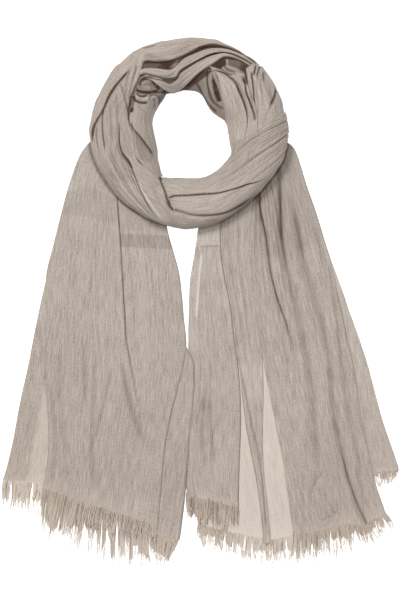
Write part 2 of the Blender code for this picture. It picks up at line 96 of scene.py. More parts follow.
def creases_at(x, y, creases):
    """(height in mm, shade) that a list of creases gives at draft positions."""
    height, shade = np.zeros(x.shape), np.zeros(x.shape)
    for number, c in enumerate(creases):
        line, size = smooth_line(c["line"])
        reach = max(c.get("high", (0, 0))[1], c.get("low", (0, 0))[1], c.get("width", 1.0)) * 3 + 2
        box = (
            (x > line[:, 0].min() - reach) & (x < line[:, 0].max() + reach)
            & (y > line[:, 1].min() - reach) & (y < line[:, 1].max() + reach)
        )
        px, py = x[box], y[box]
        if not len(px):
            continue
        best = np.full(px.shape, 1e9)
        near = np.zeros(px.shape, int)
        for k, (lx, ly) in enumerate(line):
            d = (px - lx) ** 2 + (py - ly) ** 2
            near = np.where(d < best, k, near)
            best = np.minimum(best, d)
        tangent = np.gradient(line, axis=0)
        tangent /= np.maximum(np.hypot(*tangent.T), 1e-9)[:, None]
        tx, ty = tangent[near, 0], tangent[near, 1]
        dx, dy = px - line[near, 0], py - line[near, 1]
        # signed distance, positive on the left-hand side of the line's travel as seen in the draft (y down)
        side = (ty * dx - tx * dy) * c.get("side", 1)
        over = np.abs(tx * dx + ty * dy)
        at = near / (len(line) - 1) * size
        fade0, fade1 = c.get("fade", (6, 6))
        fade = ease(at / max(fade0, 0.1)) * ease((size - at) / max(fade1, 0.1)) * np.exp(-((over / 2.5) ** 2))
        fade = fade * (1 + 0.22 * noise(at / 14.0, at * 0 + 0.5, 50 + number))
        z = np.zeros(px.shape)
        if "groove" in c:
            z -= c["groove"] * np.exp(-((side / c.get("width", 1.0)) ** 2))
        if "ridge" in c:
            z += c["ridge"] * np.exp(-((side / c.get("width", 1.0)) ** 2))
        if "high" in c:
            h, w = c["high"]
            z += h * np.exp(-np.maximum(side, 0) / w) / (1 + np.exp(-side / 0.28))
        if "low" in c:
            h, w = c["low"]
            z -= h * np.exp(np.minimum(side, 0) / w) / (1 + np.exp(side / 0.28))
        height[box] += z * fade
        line_shade = c.get("shade", 0.0) * np.exp(-((side + c.get("offset", 0.25)) / c.get("line_width", 0.85)) ** 2)
        soft = c.get("soft", 0.0) * np.exp(np.minimum(side, 0) / c.get("soft_reach", 4.0)) * (side < 0.3)
        shade[box] = 1 - (1 - shade[box]) * (1 - np.clip((line_shade + soft) * fade, 0, 1))
    return height, shade


def zones_at(x, y, zones):
    """Painted light and shade from zones: painted shade in pockets, recesses and by the ring, painted highlights on
    some ridges, and painted lightening or darkening where single or double layers of gauze let more or less of the pale
    ground through.
    """
    light_shade_and_tint = np.zeros(x.shape)
    for corners, value, soft in zones:
        corners = np.asarray(corners, float)
        inside = np.zeros(x.shape, bool)
        dist = np.full(x.shape, 1e9)
        for (x0, y0), (x1, y1) in zip(corners, np.roll(corners, -1, 0)):
            crosses = (y0 > y) != (y1 > y)
            with np.errstate(divide="ignore", invalid="ignore"):
                inside ^= crosses & (x < (x1 - x0) * (y - y0) / (y1 - y0) + x0)
            t = np.clip(((x - x0) * (x1 - x0) + (y - y0) * (y1 - y0)) / max((x1 - x0) ** 2 + (y1 - y0) ** 2, 1e-9), 0, 1)
            dist = np.minimum(dist, np.hypot(x - x0 - t * (x1 - x0), y - y0 - t * (y1 - y0)))
        signed = np.where(inside, dist, -dist)
        light_shade_and_tint += value * ease(signed / (2 * soft) + 0.5)
    return light_shade_and_tint


# ------------------------------------------------------------------ materials
def node(tree, kind, x, y, **settings):
    made = tree.nodes.new(kind)
    made.location = (x, y)
    for key, value in settings.items():
        setattr(made, key, value)
    return made


def cloth_material(name, light, mid, dark, streak=(820.0, 46.0), weave=0.16, slub=0.46):
    """Crinkled plain-weave gauze. Texture runs along v of the UV map, which is in metres on the cloth."""
    m = bpy.data.materials.new(name)
    m.use_nodes = True
    t = m.node_tree
    t.nodes.clear()
    out = node(t, "ShaderNodeOutputMaterial", 900, 0)
    shader = node(t, "ShaderNodeBsdfPrincipled", 600, 0)
    uv = node(t, "ShaderNodeUVMap", -1500, 0, uv_map="cloth")
    link = t.links.new

    def mapped(sx, sy, x, y):
        mp = node(t, "ShaderNodeMapping", x, y)
        mp.inputs["Scale"].default_value = (sx, sy, 1)
        link(uv.outputs["UV"], mp.inputs["Vector"])
        return mp.outputs["Vector"]

    def noise_node(vector, scale, detail, x, y, rough=0.55):
        n = node(t, "ShaderNodeTexNoise", x, y)
        n.inputs["Scale"].default_value = scale
        n.inputs["Detail"].default_value = detail
        n.inputs["Roughness"].default_value = rough
        link(vector, n.inputs["Vector"])
        return n.outputs["Fac"]

    def ramp(fac, lo, hi, x, y):
        r = node(t, "ShaderNodeMapRange", x, y)
        r.inputs["From Min"].default_value = lo
        r.inputs["From Max"].default_value = hi
        link(fac, r.inputs["Value"])
        return r.outputs["Result"]

    def math_node(op, a, b, x, y):
        n = node(t, "ShaderNodeMath", x, y, operation=op)
        for i, v in enumerate((a, b)):
            if isinstance(v, (int, float)):
                n.inputs[i].default_value = v
            else:
                link(v, n.inputs[i])
        return n.outputs[0]

    # slubs: thick and thin yarns, 2 to 4 mm apart and some centimetres long
    fine = ramp(noise_node(mapped(streak[0], streak[1], -1250, 300), 1.0, 2.0, -1050, 300), 0.30, 0.70, -850, 300)
    wide = ramp(noise_node(mapped(streak[0] * 0.28, streak[1] * 0.45, -1250, 60), 1.0, 2.0, -1050, 60), 0.32, 0.68, -850, 60)
    cross = ramp(noise_node(mapped(700.0, 420.0, -1250, -180), 1.0, 1.0, -1050, -180), 0.28, 0.72, -850, -180)
    cloud = ramp(noise_node(mapped(11.0, 7.0, -1250, -420), 1.0, 3.0, -1050, -420), 0.30, 0.70, -850, -420)
    mixed = math_node("ADD", math_node("MULTIPLY", fine, slub, -650, 300), math_node("MULTIPLY", wide, 0.09, -650, 60), -450, 200)
    mixed = math_node("ADD", mixed, math_node("MULTIPLY", cross, 0.32, -650, -180), -300, 120)
    mixed = math_node("ADD", mixed, math_node("MULTIPLY", cloud, 0.14, -650, -420), -150, 60)
    colours = node(t, "ShaderNodeValToRGB", 0, 200)
    colours.color_ramp.elements[0].position = 0.18
    colours.color_ramp.elements[0].color = (*dark, 1)
    colours.color_ramp.elements[1].position = 0.92
    colours.color_ramp.elements[1].color = (*light, 1)
    middle = colours.color_ramp.elements.new(0.55)
    middle.color = (*mid, 1)
    link(mixed, colours.inputs["Fac"])
    # the colour attribute: red is painted light, lighter where one layer lies on the pale ground and in painted
    # highlights; green is painted shade in folds, pockets, along edges and under the ring's rim; blue makes the colour
    # pinker
    light_shade_and_tint = node(t, "ShaderNodeAttribute", 0, -150, attribute_name="light_shade_and_tint")
    parts = node(t, "ShaderNodeSeparateColor", 160, -150)
    link(light_shade_and_tint.outputs["Color"], parts.inputs["Color"])
    painted_light_mix = node(t, "ShaderNodeMix", 280, 200, data_type="RGBA")
    painted_light_mix.inputs[7].default_value = (0.77, 0.695, 0.617, 1)
    link(parts.outputs["Red"], painted_light_mix.inputs["Factor"])
    pinker = node(t, "ShaderNodeMix", 200, 380, data_type="RGBA", blend_type="MULTIPLY")
    pinker.inputs[7].default_value = (1.0, 0.955, 0.945, 1)
    link(parts.outputs["Blue"], pinker.inputs["Factor"])
    link(colours.outputs["Color"], pinker.inputs[6])
    link(pinker.outputs[2], painted_light_mix.inputs[6])
    painted_shade_mix = node(t, "ShaderNodeMix", 430, 120, data_type="RGBA")
    painted_shade_mix.inputs[7].default_value = (0.050, 0.027, 0.016, 1)
    link(parts.outputs["Green"], painted_shade_mix.inputs["Factor"])
    link(painted_light_mix.outputs[2], painted_shade_mix.inputs[6])
    link(painted_shade_mix.outputs[2], shader.inputs["Base Color"])
    shader.inputs["Roughness"].default_value = 0.92
    shader.inputs["Specular IOR Level"].default_value = 0.18
    shader.inputs["Sheen Weight"].default_value = 0.12
    shader.inputs["Sheen Roughness"].default_value = 0.45
    shader.inputs["Sheen Tint"].default_value = (0.95, 0.90, 0.84, 1)
    # bump: crinkle along the cloth and the two threads of the weave
    warp = node(t, "ShaderNodeTexWave", -650, -650, wave_type="BANDS", bands_direction="X")
    warp.inputs["Scale"].default_value = 1.0
    warp.inputs["Distortion"].default_value = 1.2
    warp.inputs["Detail"].default_value = 1.0
    link(mapped(230.0, 40.0, -1250, -650), warp.inputs["Vector"])
    weft = node(t, "ShaderNodeTexWave", -650, -900, wave_type="BANDS", bands_direction="Y")
    weft.inputs["Scale"].default_value = 1.0
    weft.inputs["Distortion"].default_value = 1.2
    weft.inputs["Detail"].default_value = 1.0
    link(mapped(40.0, 230.0, -1250, -900), weft.inputs["Vector"])
    threads = math_node("ADD", warp.outputs["Fac"], weft.outputs["Fac"], -420, -750)
    relief = math_node("ADD", math_node("MULTIPLY", threads, weave, -250, -750), math_node("MULTIPLY", fine, 0.8, -250, -600), -80, -650)
    relief = math_node("ADD", relief, math_node("MULTIPLY", wide, 0.25, -80, -850), 80, -650)
    bump = node(t, "ShaderNodeBump", 300, -500)
    bump.inputs["Strength"].default_value = 0.55
    bump.inputs["Distance"].default_value = 0.0006
    link(relief, bump.inputs["Height"])
    link(bump.outputs["Normal"], shader.inputs["Normal"])
    link(shader.outputs["BSDF"], out.inputs["Surface"])
    return m


GAUZE = cloth_material("gauze_cloth", (0.528, 0.482, 0.431), (0.410, 0.362, 0.318), (0.269, 0.228, 0.196))
GAUZE_ENDS = cloth_material("gauze_ends", (0.540, 0.466, 0.392), (0.424, 0.354, 0.288), (0.284, 0.226, 0.178))


# ------------------------------------------------------------------ meshes
def painted_shade_amount(dark):
    """How far the colour goes towards the dark brown of the painted shade: steeper towards the middle of a crease."""
    dark = np.clip(dark, 0, 1)
    return dark + (1 - dark) * 0.7 * ease((dark - 0.22) / 0.5)


def sheet_object(name, xyz, uv, light_shade_and_tint, material, thick=0.0005, rows_first=True):
    """A grid of points (rows, columns, 3), in metres, as one thin shell."""
    n, m = xyz.shape[:2]
    index = np.arange(n * m).reshape(n, m)
    quads = np.stack([index[:-1, :-1], index[:-1, 1:], index[1:, 1:], index[1:, :-1]], -1).reshape(-1, 4)
    p = xyz.reshape(-1, 3)
    normal = np.cross(p[quads[:, 2]] - p[quads[:, 0]], p[quads[:, 3]] - p[quads[:, 1]])
    if normal[:, 2].sum() < 0:
        quads = quads[:, ::-1]
    mesh = bpy.data.meshes.new(name)
    mesh.vertices.add(n * m)
    mesh.vertices.foreach_set("co", p.astype(np.float32).ravel())
    mesh.loops.add(len(quads) * 4)
    mesh.loops.foreach_set("vertex_index", quads.astype(np.int32).ravel())
    mesh.polygons.add(len(quads))
    mesh.polygons.foreach_set("loop_start", np.arange(0, len(quads) * 4, 4, dtype=np.int32))
    mesh.update(calc_edges=True)
    layer = mesh.uv_layers.new(name="cloth")
    layer.data.foreach_set("uv", uv.reshape(-1, 2)[quads.ravel()].astype(np.float32).ravel())
    colour = mesh.color_attributes.new("light_shade_and_tint", "FLOAT_COLOR", "POINT")
    rgba = np.zeros((n * m, 4), np.float32)
    rgba[:, 0] = np.clip(light_shade_and_tint[0].ravel(), 0, 1)
    rgba[:, 1] = painted_shade_amount(light_shade_and_tint[1].ravel())
    down = CY - xyz[..., 1].ravel() / U
    rgba[:, 2] = 0.8 * np.clip((down - 300) / 160, 0, 1) if down.max() > 260 else 0.4
    rgba[:, 3] = 1
    colour.data.foreach_set("color", rgba.ravel())
    mesh.shade_smooth()
    ends = np.zeros(len(mesh.edges) * 2, np.int32)
    mesh.edges.foreach_get("vertices", ends)
    rim = np.zeros((n, m), bool)
    rim[0] = rim[-1] = True
    rim[:, 0] = rim[:, -1] = True
    rim = rim.ravel()
    ends = ends.reshape(-1, 2)
    step = np.abs(ends[:, 0] - ends[:, 1])
    inner_step = ((step == 1) & ((ends[:, 0] // m == 0) | (ends[:, 0] // m == n - 1))) | ((step == m) & ((ends[:, 0] % m == 0) | (ends[:, 0] % m == m - 1)))
    sharp = mesh.attributes.new("sharp_edge", "BOOLEAN", "EDGE")
    sharp.data.foreach_set("value", rim[ends].all(1) & inner_step)
    mesh.materials.append(material)
    mesh.validate()
    obj = bpy.data.objects.new(name, mesh)
    bpy.context.scene.collection.objects.link(obj)
    if thick:
        solid = obj.modifiers.new("thickness", "SOLIDIFY")
        solid.thickness = thick
        solid.offset = -1
        solid.use_even_offset = False
    return obj


def to_row(x, y, z):
    """Draft plan and mm of height, to metres in the row's frame."""
    return np.stack([(x - CX) * U, (CY - y) * U, z * 0.001], -1)


def crinkle(u, v, seed, fine=0.16, wide=0.35):
    """Relief of the gauze's crinkle in mm; u runs across and v along the cloth, in mm."""
    bend = 2.2 * noise(u / 60, v / 70, seed + 9)
    a = noise((u + bend) / 3.1, v / 42, seed)
    b = noise((u + bend) / 6.2, v / 75, seed + 1)
    c = noise((u + bend) / 13.0, v / 110, seed + 2)
    return fine * a + 0.62 * wide * b + wide * 0.9 * c


def edge_drop(distance, width, drop):
    """How far a folded edge rounds down, at a distance from it."""
    t = np.clip(1 - distance / max(width, 1e-6), 0, 1)
    return drop * (1 - np.sqrt(np.maximum(1 - t * t, 0)))


# ------------------------------------------------------------------ the neck ring
RING = np.array([
    # outer, inner (draft units), crest (mm), over_tail; every 15 degrees clockwise from the top
    (95.3, 41.0, 36, 0), (96.0, 39.4, 36, 0), (96.0, 33.0, 36, 0), (97.5, 30.0, 37, 0), (97.5, 32.0, 37, 0), (96.8, 37.0, 37, 0.2),
    (96.6, 38.0, 37, 0.8), (96.0, 41.0, 38, 1), (92.0, 46.0, 36, 1), (90.5, 45.5, 35, 1), (91.3, 46.0, 34, 1), (93.7, 46.0, 34, 1),
    (94.8, 45.0, 34, 1), (93.7, 46.0, 35, 1), (93.7, 50.0, 36, 1), (95.5, 43.0, 37, 1), (97.0, 37.5, 37, 1), (99.0, 35.5, 37, 1),
    (100.0, 36.0, 37, 0.6), (99.5, 38.6, 36, 0.1), (99.5, 40.0, 36, 0), (99.0, 41.0, 36, 0), (98.0, 43.0, 36, 0), (95.0, 41.0, 36, 0),
])


def ring_at(angle):
    turn = (np.asarray(angle) % 360.0) / 15.0
    i = np.floor(turn).astype(int)
    t = (turn - i)[..., None]
    a, b, c, d = (RING[(i + k) % 24] for k in (-1, 0, 1, 2))
    v = b + 0.5 * t * (c - a + t * (2 * a - 5 * b + 4 * c - d + t * (3 * (b - c) + d - a)))
    return v[..., 0], v[..., 1], v[..., 2], np.clip(v[..., 3], 0, 1)


def section(angle, turn):
    """(radius in draft units, height in mm) on the ring's section."""
    outer, inner, crest, over = ring_at(angle)
    radius = (outer + inner) / 2 + (outer - inner) / 2 * np.cos(turn)
    rim = TAIL_CLEAR * over * (1 + np.cos(turn)) / 2
    return radius, rim + (crest - rim) * np.maximum(np.sin(turn), 0) ** DOME_POWER


def turn_of(angle, radius):
    outer, inner, _, _ = ring_at(angle)
    return np.arccos(np.clip((radius - (outer + inner) / 2) / ((outer - inner) / 2), -1, 1))


def on_ring(angle, turn, lift):
    """Draft x, y and height in mm of a point on the ring's form, moved out by lift mm."""
    radius, height = section(angle, turn)
    r0, z0 = section(angle, np.maximum(turn - 0.03, 0))
    r1, z1 = section(angle, np.minimum(turn + 0.03, np.pi))
    dr, dz = (r1 - r0) * U * 1000, z1 - z0
    size = np.maximum(np.hypot(dr, dz), 1e-9)
    radius = radius + dz / size * lift / (U * 1000)
    height = height - dr / size * lift
    a = np.radians(angle)
    return RING_X + radius * np.sin(a), RING_Y - radius * np.cos(a), np.maximum(height, 0.25)


def ring_sheet(name, rows, size, creases=(), zones=(), roll=(), crinkled=(0.16, 0.35), seed=1, material=None, lift=0.0,
               base_shade=0.0, tuck=(0, 0), pleats=None, edge_shade=(0, 0, 0, 0), bumpy=1.0):
    """One stretch on the ring. roll: (width in draft units, drop in mm) at the outer edge, inner edge, start and end.
    tuck: radius in mm of the roll under at the outer and the inner edge."""
    n, m = size
    table = catmull(rows, np.linspace(0, 1, n))
    across = np.linspace(0, 1, m)
    first, last = turn_of(table[:, 0], table[:, 1]), turn_of(table[:, 2], table[:, 3])
    angle = table[:, :1] + (table[:, 2:3] - table[:, :1]) * across
    turn = first[:, None] + (last - first)[:, None] * across
    bx, by, bz = on_ring(angle, turn, np.zeros_like(angle))
    p = to_row(bx, by, bz) * 1000
    u = np.concatenate([np.zeros((n, 1)), np.cumsum(np.linalg.norm(np.diff(p, axis=1), axis=2), axis=1)], 1)
    v = np.concatenate([np.zeros((1, m)), np.cumsum(np.linalg.norm(np.diff(p, axis=0), axis=2), axis=0)], 0)
    v = v.mean(1, keepdims=True) + 0 * v
    wide = u[:, -1:]
    ucloth = u - wide * 0.5
    height, shade = creases_at(bx.ravel(), by.ravel(), creases)
    height, shade = height.reshape(n, m), shade.reshape(n, m)
    out = table[:, 4:5] + lift + height + crinkle(ucloth, v, seed, *crinkled)
    if pleats:
        count, tall = pleats
        phase = across[None, :] * count + 0.35 * noise(across[None, :] * 3 + v * 0, v / 35, seed + 20)
        out = out + tall * (np.abs(np.sin(np.pi * phase)) - 0.6) * (0.75 + 0.5 * noise(across[None, :] * count * 0.9 + v * 0, v / 28, seed + 21))
    out = out + bumpy * noise(v / 11.0, v * 0 + 0.5, seed + 40) * np.exp(-((turn / 0.55) ** 2))
    roll = list(roll) + [(0.01, 0)] * (4 - len(roll))
    edges = (u, wide - u, v + 0 * u, v[-1:] - v + 0 * u)
    for (w, drop), distance, dark in zip(roll, edges, edge_shade):
        if drop:
            out = out - edge_drop(distance, w * U * 1000, drop)
        if dark:
            shade = 1 - (1 - shade) * (1 - dark * np.exp(-((distance / (0.9 * U * 1000)) ** 2)))
    x, y, z = on_ring(angle, turn, out)
    columns = [(x, y, z, u, shade)]
    for which, radius in enumerate(tuck):
        if not radius:
            continue
        # the cloth rounds under at the rim and runs back in beneath itself
        j = 0 if which == 0 else m - 1
        a = np.radians(angle[:, j])
        sign = 1 if which == 0 else -1
        ring_r = np.hypot(x[:, j] - RING_X, y[:, j] - RING_Y)
        extra = []
        for k, theta in enumerate((25, 55, 90, 125, 155)):
            t = math.radians(theta)
            rr = ring_r - sign * radius / (U * 1000) * (1 - math.cos(t)) - sign * (k > 2) * (k - 2) * 1.2
            zz = np.maximum(z[:, j] - radius * math.sin(min(t, math.pi / 2)) - (radius * 0.2 if theta > 90 else 0), 0.25)
            ex, ey = RING_X + rr * np.sin(a), RING_Y - rr * np.cos(a)
            extra.append((ex, ey, zz, u[:, j] - sign * radius * t * 1.0, shade[:, j]))
        if which == 0:
            extra = extra[::-1]
        block = tuple(np.stack([e[q] for e in extra], 1) for q in range(5))
        columns = [block] + columns if which == 0 else columns + [block]
    x, y, z, uu, shade = (np.concatenate([c[q] for c in columns], 1) for q in range(5))
    vv = v[:, :1] + 0 * x
    light = zones_at(x.ravel(), y.ravel(), zones).reshape(x.shape)
    uv = np.stack([(uu - (wide * 0.5)) * 0.001 + seed * 0.37, vv * 0.001 + seed * 0.61], -1)
    near_edge = np.minimum(turn_of(angle, section(angle, turn)[0]), np.pi)  # 0 at the outer rim
    # painted shade: darker at the outer and inner rims, where the ring's round sides turn away from the light
    rim_painted_shade = 0.13 * np.exp(-((near_edge / 0.36) ** 2)) + 0.18 * np.exp(-(((np.pi - near_edge) / 0.40) ** 2))
    rim_painted_shade = np.concatenate([np.repeat(rim_painted_shade[:, :1], x.shape[1] - rim_painted_shade.shape[1] if tuck[0] else 0, 1), rim_painted_shade,
                               np.repeat(rim_painted_shade[:, -1:], 0 if tuck[0] else x.shape[1] - rim_painted_shade.shape[1], 1)], 1)
    # every stretch on the ring is darkened by its base_shade and a further 0.085, and by the rims' painted shade
    shade = 1 - (1 - shade) * (1 - base_shade - 0.085) * (1 - rim_painted_shade)
    return sheet_object(name, to_row(x, y, z), uv, (np.maximum(light, 0), shade + np.maximum(-light, 0)), material or GAUZE), float(wide.mean()) * 0.001, float(v[-1, 0]) * 0.001


def between_lines(one, two, shares):
    """Lines lying between two lines, at shares of the way."""
    a, b = smooth_line(one, 4.0)[0], smooth_line(two, 4.0)[0]
    t = np.linspace(0, 1, 14)
    pick = lambda line: np.stack([np.interp(t, np.linspace(0, 1, len(line)), line[:, k]) for k in (0, 1)], 1)
    a, b = pick(a), pick(b)
    return [a + (b - a) * s for s in shares]


pieces = {}

# -- the left swath
LS_DEEP = [(119.5, 120), (119.6, 134), (120.6, 145), (123.6, 155), (129, 161), (132, 167.5), (135, 176), (139.7, 187.4), (145, 198), (150.4, 206.6), (156.5, 214), (164, 220.5)]
LS_RIM = [(96, 140), (97, 150), (99, 160), (104, 172), (112, 186), (120, 196), (130, 205), (141, 212), (152, 217.5), (166, 222.5)]
left_creases = [
    dict(line=[(129, 70), (125, 75.7), (115.5, 87), (109, 97.4), (103.7, 109.5), (96.5, 121.7), (93.8, 128), (92.2, 138), (92.2, 148)],
         side=-1, high=(1.6, 5.0), low=(2.6, 2.0), shade=0.66, line_width=0.8, soft=0.16, soft_reach=3.0, fade=(8, 16)),
    dict(line=[(103.7, 108), (102.6, 118), (102.8, 129.5), (104.5, 145), (107, 158)], groove=2.0, width=1.0, shade=0.55, fade=(6, 16)),
    dict(line=[(97, 124), (96.5, 134), (98, 146), (101, 156)], groove=1.4, width=0.9, shade=0.35, fade=(8, 14)),
    dict(line=[(120, 83), (121.9, 87.7), (125, 97.4), (128.6, 110.8), (129.2, 116)], groove=2.0, width=1.1, shade=0.46, line_width=0.7, fade=(5, 3)),
    dict(line=[(118.8, 123.2), (120.6, 130.3), (119.7, 142.8), (121, 150), (124, 160)], groove=1.0, width=0.9, shade=0.40, line_width=0.6, fade=(3, 8)),
    dict(line=[(134.3, 130), (135.4, 140), (136.4, 150), (138, 158)], groove=1.2, width=1.0, shade=0.42, line_width=0.7, fade=(3, 6)),
    dict(line=[(111, 104), (110, 116), (111, 128), (113, 140)], ridge=0.9, width=1.8, fade=(6, 10)),
    dict(line=LS_DEEP, side=1, high=(1.4, 3.5), low=(2.2, 1.0), shade=0.58, line_width=0.7, soft=0.08, fade=(26, 22)),
    dict(line=[(122.6, 153), (126.6, 159.4), (130.6, 165), (133.4, 170)], groove=1.2, width=1.3, shade=0.50, line_width=1.2, fade=(3, 4)),
    dict(line=[(126, 168), (129, 176.7), (133.6, 186), (139.7, 195), (145.8, 205), (153.5, 214)], ridge=1.3, width=1.3, fade=(12, 8)),
    dict(line=[(110, 100), (111, 118), (112, 134), (114, 148)], groove=1.5, width=1.8, shade=0.20, line_width=1.4, fade=(10, 12)),
    dict(line=[(116, 92), (117.5, 108), (118, 124), (118.6, 138)], groove=1.3, width=1.6, shade=0.22, line_width=1.2, fade=(8, 10)),
    dict(line=[(131, 66), (128, 78), (126.4, 90), (127.6, 100)], groove=1.4, width=1.6, shade=0.26, line_width=1.3, fade=(8, 8)),
    dict(line=[(138, 60), (136, 70), (133, 82), (130.6, 94), (129.6, 104)], groove=1.6, width=1.4, shade=0.34, line_width=1.1, fade=(6, 6)),
    dict(line=[(121, 118), (121.6, 132), (123.4, 144), (127.4, 153), (132, 160)], ridge=1.2, width=1.8, fade=(8, 8)),
    dict(line=[(127, 128), (130, 140), (132.5, 152), (135, 162)], groove=1.0, width=1.6, shade=0.12, fade=(8, 8)),
    dict(line=[(150, 182), (155, 192), (160, 202), (164, 210)], groove=0.7, width=1.6, shade=0.10, fade=(8, 8)),
    dict(line=[(112, 66), (104, 82), (97, 100), (92.5, 118)], groove=0.7, width=2.2, shade=0.06, fade=(14, 14)),
]
pleat = np.random.default_rng(5)
shares = (np.arange(15) + 0.5 + pleat.uniform(-0.28, 0.28, 15)) / 15
for k, line in enumerate(between_lines(LS_DEEP[1:], LS_RIM, shares)):
    deep = (0.35, 1.0, 0.5, 0.8, 0.3)[k % 5] * pleat.uniform(0.7, 1.3)
    left_creases.append(dict(line=line, groove=1.5 * deep, width=0.75, shade=0.36 * deep, line_width=0.55, fade=(pleat.uniform(12, 60), pleat.uniform(28, 60))))
for k, line in enumerate(between_lines(LS_DEEP[1:], LS_RIM, (shares[:-1] + shares[1:]) / 2)):
    if k % 3 != 1:
        left_creases.append(dict(line=line, ridge=1.0, width=0.8, fade=(pleat.uniform(20, 60), 16)))
pieces["front_left_swath"] = ring_sheet(
    "front_left_swath",
    [
        (151, 90.9, 151, 89.4, -1.6), (160, 92.1, 160, 88.6, -0.6), (169, 93.4, 169, 86.2, 0.8), (178, 94.1, 178, 84.0, 2.0),
        (184, 94.1, 186, 81.6, 2.9), (189, 93.8, 192, 80.4, 3.1), (194, 93.5, 197, 75.5, 3.2), (200, 93.4, 203, 65.0, 3.1),
        (207, 93.5, 211, 58.0, 2.9), (215, 94.2, 219, 54.2, 2.1), (226, 95.6, 230, 54.6, 0.9),
        (240, 97.0, 241, 58.6, 0.0), (255, 99.0, 254, 56.0, 0.0), (270, 100.0, 267, 55.0, 0.0), (285, 99.5, 284, 63.0, 0.0),
        (300, 99.5, 302, 68.6, 0.0), (310, 99.2, 318, 75.0, 0.0), (318, 98.8, 330, 88.5, 0.3), (324, 98.6, 335, 90.5, 0.6),
    ],
    (360, 96),
    creases=left_creases, roll=((0.01, 0), (2.6, 3.6), (0.01, 0), (0.01, 0)), tuck=(3.0, 0), seed=3, crinkled=(0.12, 0.18), pleats=None, base_shade=0.03,
    # zones: painted shade on the outer and upper parts, painted light over the lower tip and two thin painted
    # highlights along its ridges
    zones=[([(90, 150), (92, 128), (104, 104), (126, 74), (140, 60), (150, 44), (120, 50), (92, 90), (84, 140)], -0.05, 5.0),
           ([(104, 112), (112, 100), (126, 92), (131, 106), (134, 130), (138, 158), (128, 156), (118, 140), (106, 146)], -0.05, 4.0),
           ([(118, 182), (136, 184), (150, 204), (168, 219), (172, 226), (146, 222), (124, 204)], 0.22, 3.0),
           ([(131.6, 175.4), (140.2, 189), (150, 204.6), (160, 218), (161.2, 217.4), (151.4, 203.8), (141.6, 188.2), (132.8, 174.8)], 0.40, 0.5),
           ([(127.0, 178.4), (136, 192.6), (145.4, 206), (154, 215.4), (155.2, 214.8), (146.6, 205.2), (137.2, 191.8), (128.2, 177.8)], 0.30, 0.5)],
)

# -- the right swath, in a fan from the right edge
FAN_TOP = [(288, 114), (275, 118.6), (263, 124), (251, 131.4), (241, 141), (232, 153)]
FAN_LOW = [(287, 150), (276, 165), (262, 178), (244, 192), (224, 205), (200, 212)]
right_creases = [
    dict(line=[(168.5, 199), (174, 196.4), (187, 195.5), (199.4, 194.6), (217.5, 193.4), (233.6, 189.4), (247, 185.0), (258.6, 181.4), (270, 175.0)],
         side=1, high=(1.5, 5.0), low=(2.8, 1.5), shade=0.72, soft=0.14, soft_reach=3.0, fade=(2, 30)),
    dict(line=[(174.5, 210.4), (183.3, 212.9), (193.4, 215.6), (206.8, 216.3), (220.2, 215.0), (232, 211.0), (243, 204.4), (254, 195.6), (264, 186)],
         groove=2.0, width=1.4, shade=0.66, line_width=1.0, fade=(1, 34)),
    dict(line=[(161.2, 181.6), (164.6, 189.4), (167.8, 199.6), (170.2, 208.6), (174, 212.6)], groove=1.6, width=1.4, shade=0.66, line_width=1.2, fade=(1, 2)),
    dict(line=[(169.2, 199.5), (170.6, 205), (174, 211.5)], side=1, high=(1.0, 2.0), low=(1.8, 1.0), shade=0.55, fade=(2, 2)),
]
shares = (np.arange(19) + 0.5 + pleat.uniform(-0.32, 0.32, 19)) / 19
for k, line in enumerate(between_lines(FAN_TOP, FAN_LOW, shares)):
    deep = (0.9, 0.4, 0.6, 1.0, 0.35, 0.7, 0.45)[k % 7] * pleat.uniform(0.7, 1.2) * (1.0 if k < 14 else 0.6)
    right_creases.append(dict(line=line, groove=1.3 * deep, width=0.75, line_width=0.55, shade=0.34 * deep, fade=(1, pleat.uniform(14, 70))))
for k, line in enumerate(between_lines(FAN_TOP, FAN_LOW, (0.16, 0.31, 0.47, 0.63))):
    right_creases.append(dict(line=line, ridge=(0.9, 0.7, 0.8, 0.5)[k], width=1.7, fade=(6, 50)))
for k, line in enumerate(between_lines([(236, 162), (222, 175), (206, 183), (190, 184), (170, 184)], [(262, 180), (240, 188), (215, 192), (190, 194), (170, 197)], (0.25, 0.5, 0.75))):
    right_creases.append(dict(line=line, groove=(0.6, 0.8, 0.5)[k], width=1.5, shade=(0.06, 0.09, 0.06)[k], fade=(20, 16)))
pieces["front_right_swath"] = ring_sheet(
    "front_right_swath",
    [
        (84, 97.0, 77.6, 96.8, 2.6), (90, 96.6, 81.0, 85.0, 3.2), (97, 95.9, 86.5, 71.5, 3.2), (105, 94.9, 94.6, 57.8, 2.9),
        (114, 93.2, 105, 44.6, 2.0), (126, 91.2, 119, 46.3, 0.8), (138, 90.5, 134, 45.6, 0.1), (150, 91.3, 150, 46.0, 0.0),
        (165, 93.7, 165, 46.0, 0.0), (180, 94.8, 180, 43.6, 0.0), (194, 94.0, 191, 41.2, 0.0), (203, 93.8, 211, 51.5, 0.0),
    ],
    (320, 92),
    creases=right_creases, roll=((0.01, 0), (3.0, 3.0), (3.4, 2.2), (0.01, 0)), tuck=(3.0, 0), seed=7, crinkled=(0.12, 0.19),
    zones=[([(270, 116), (300, 110), (300, 160), (270, 160)], -0.05, 5.0), ([(176, 188), (222, 188), (262, 160), (284, 150), (262, 190), (222, 218), (176, 222)], 0.12, 5.0)],
)

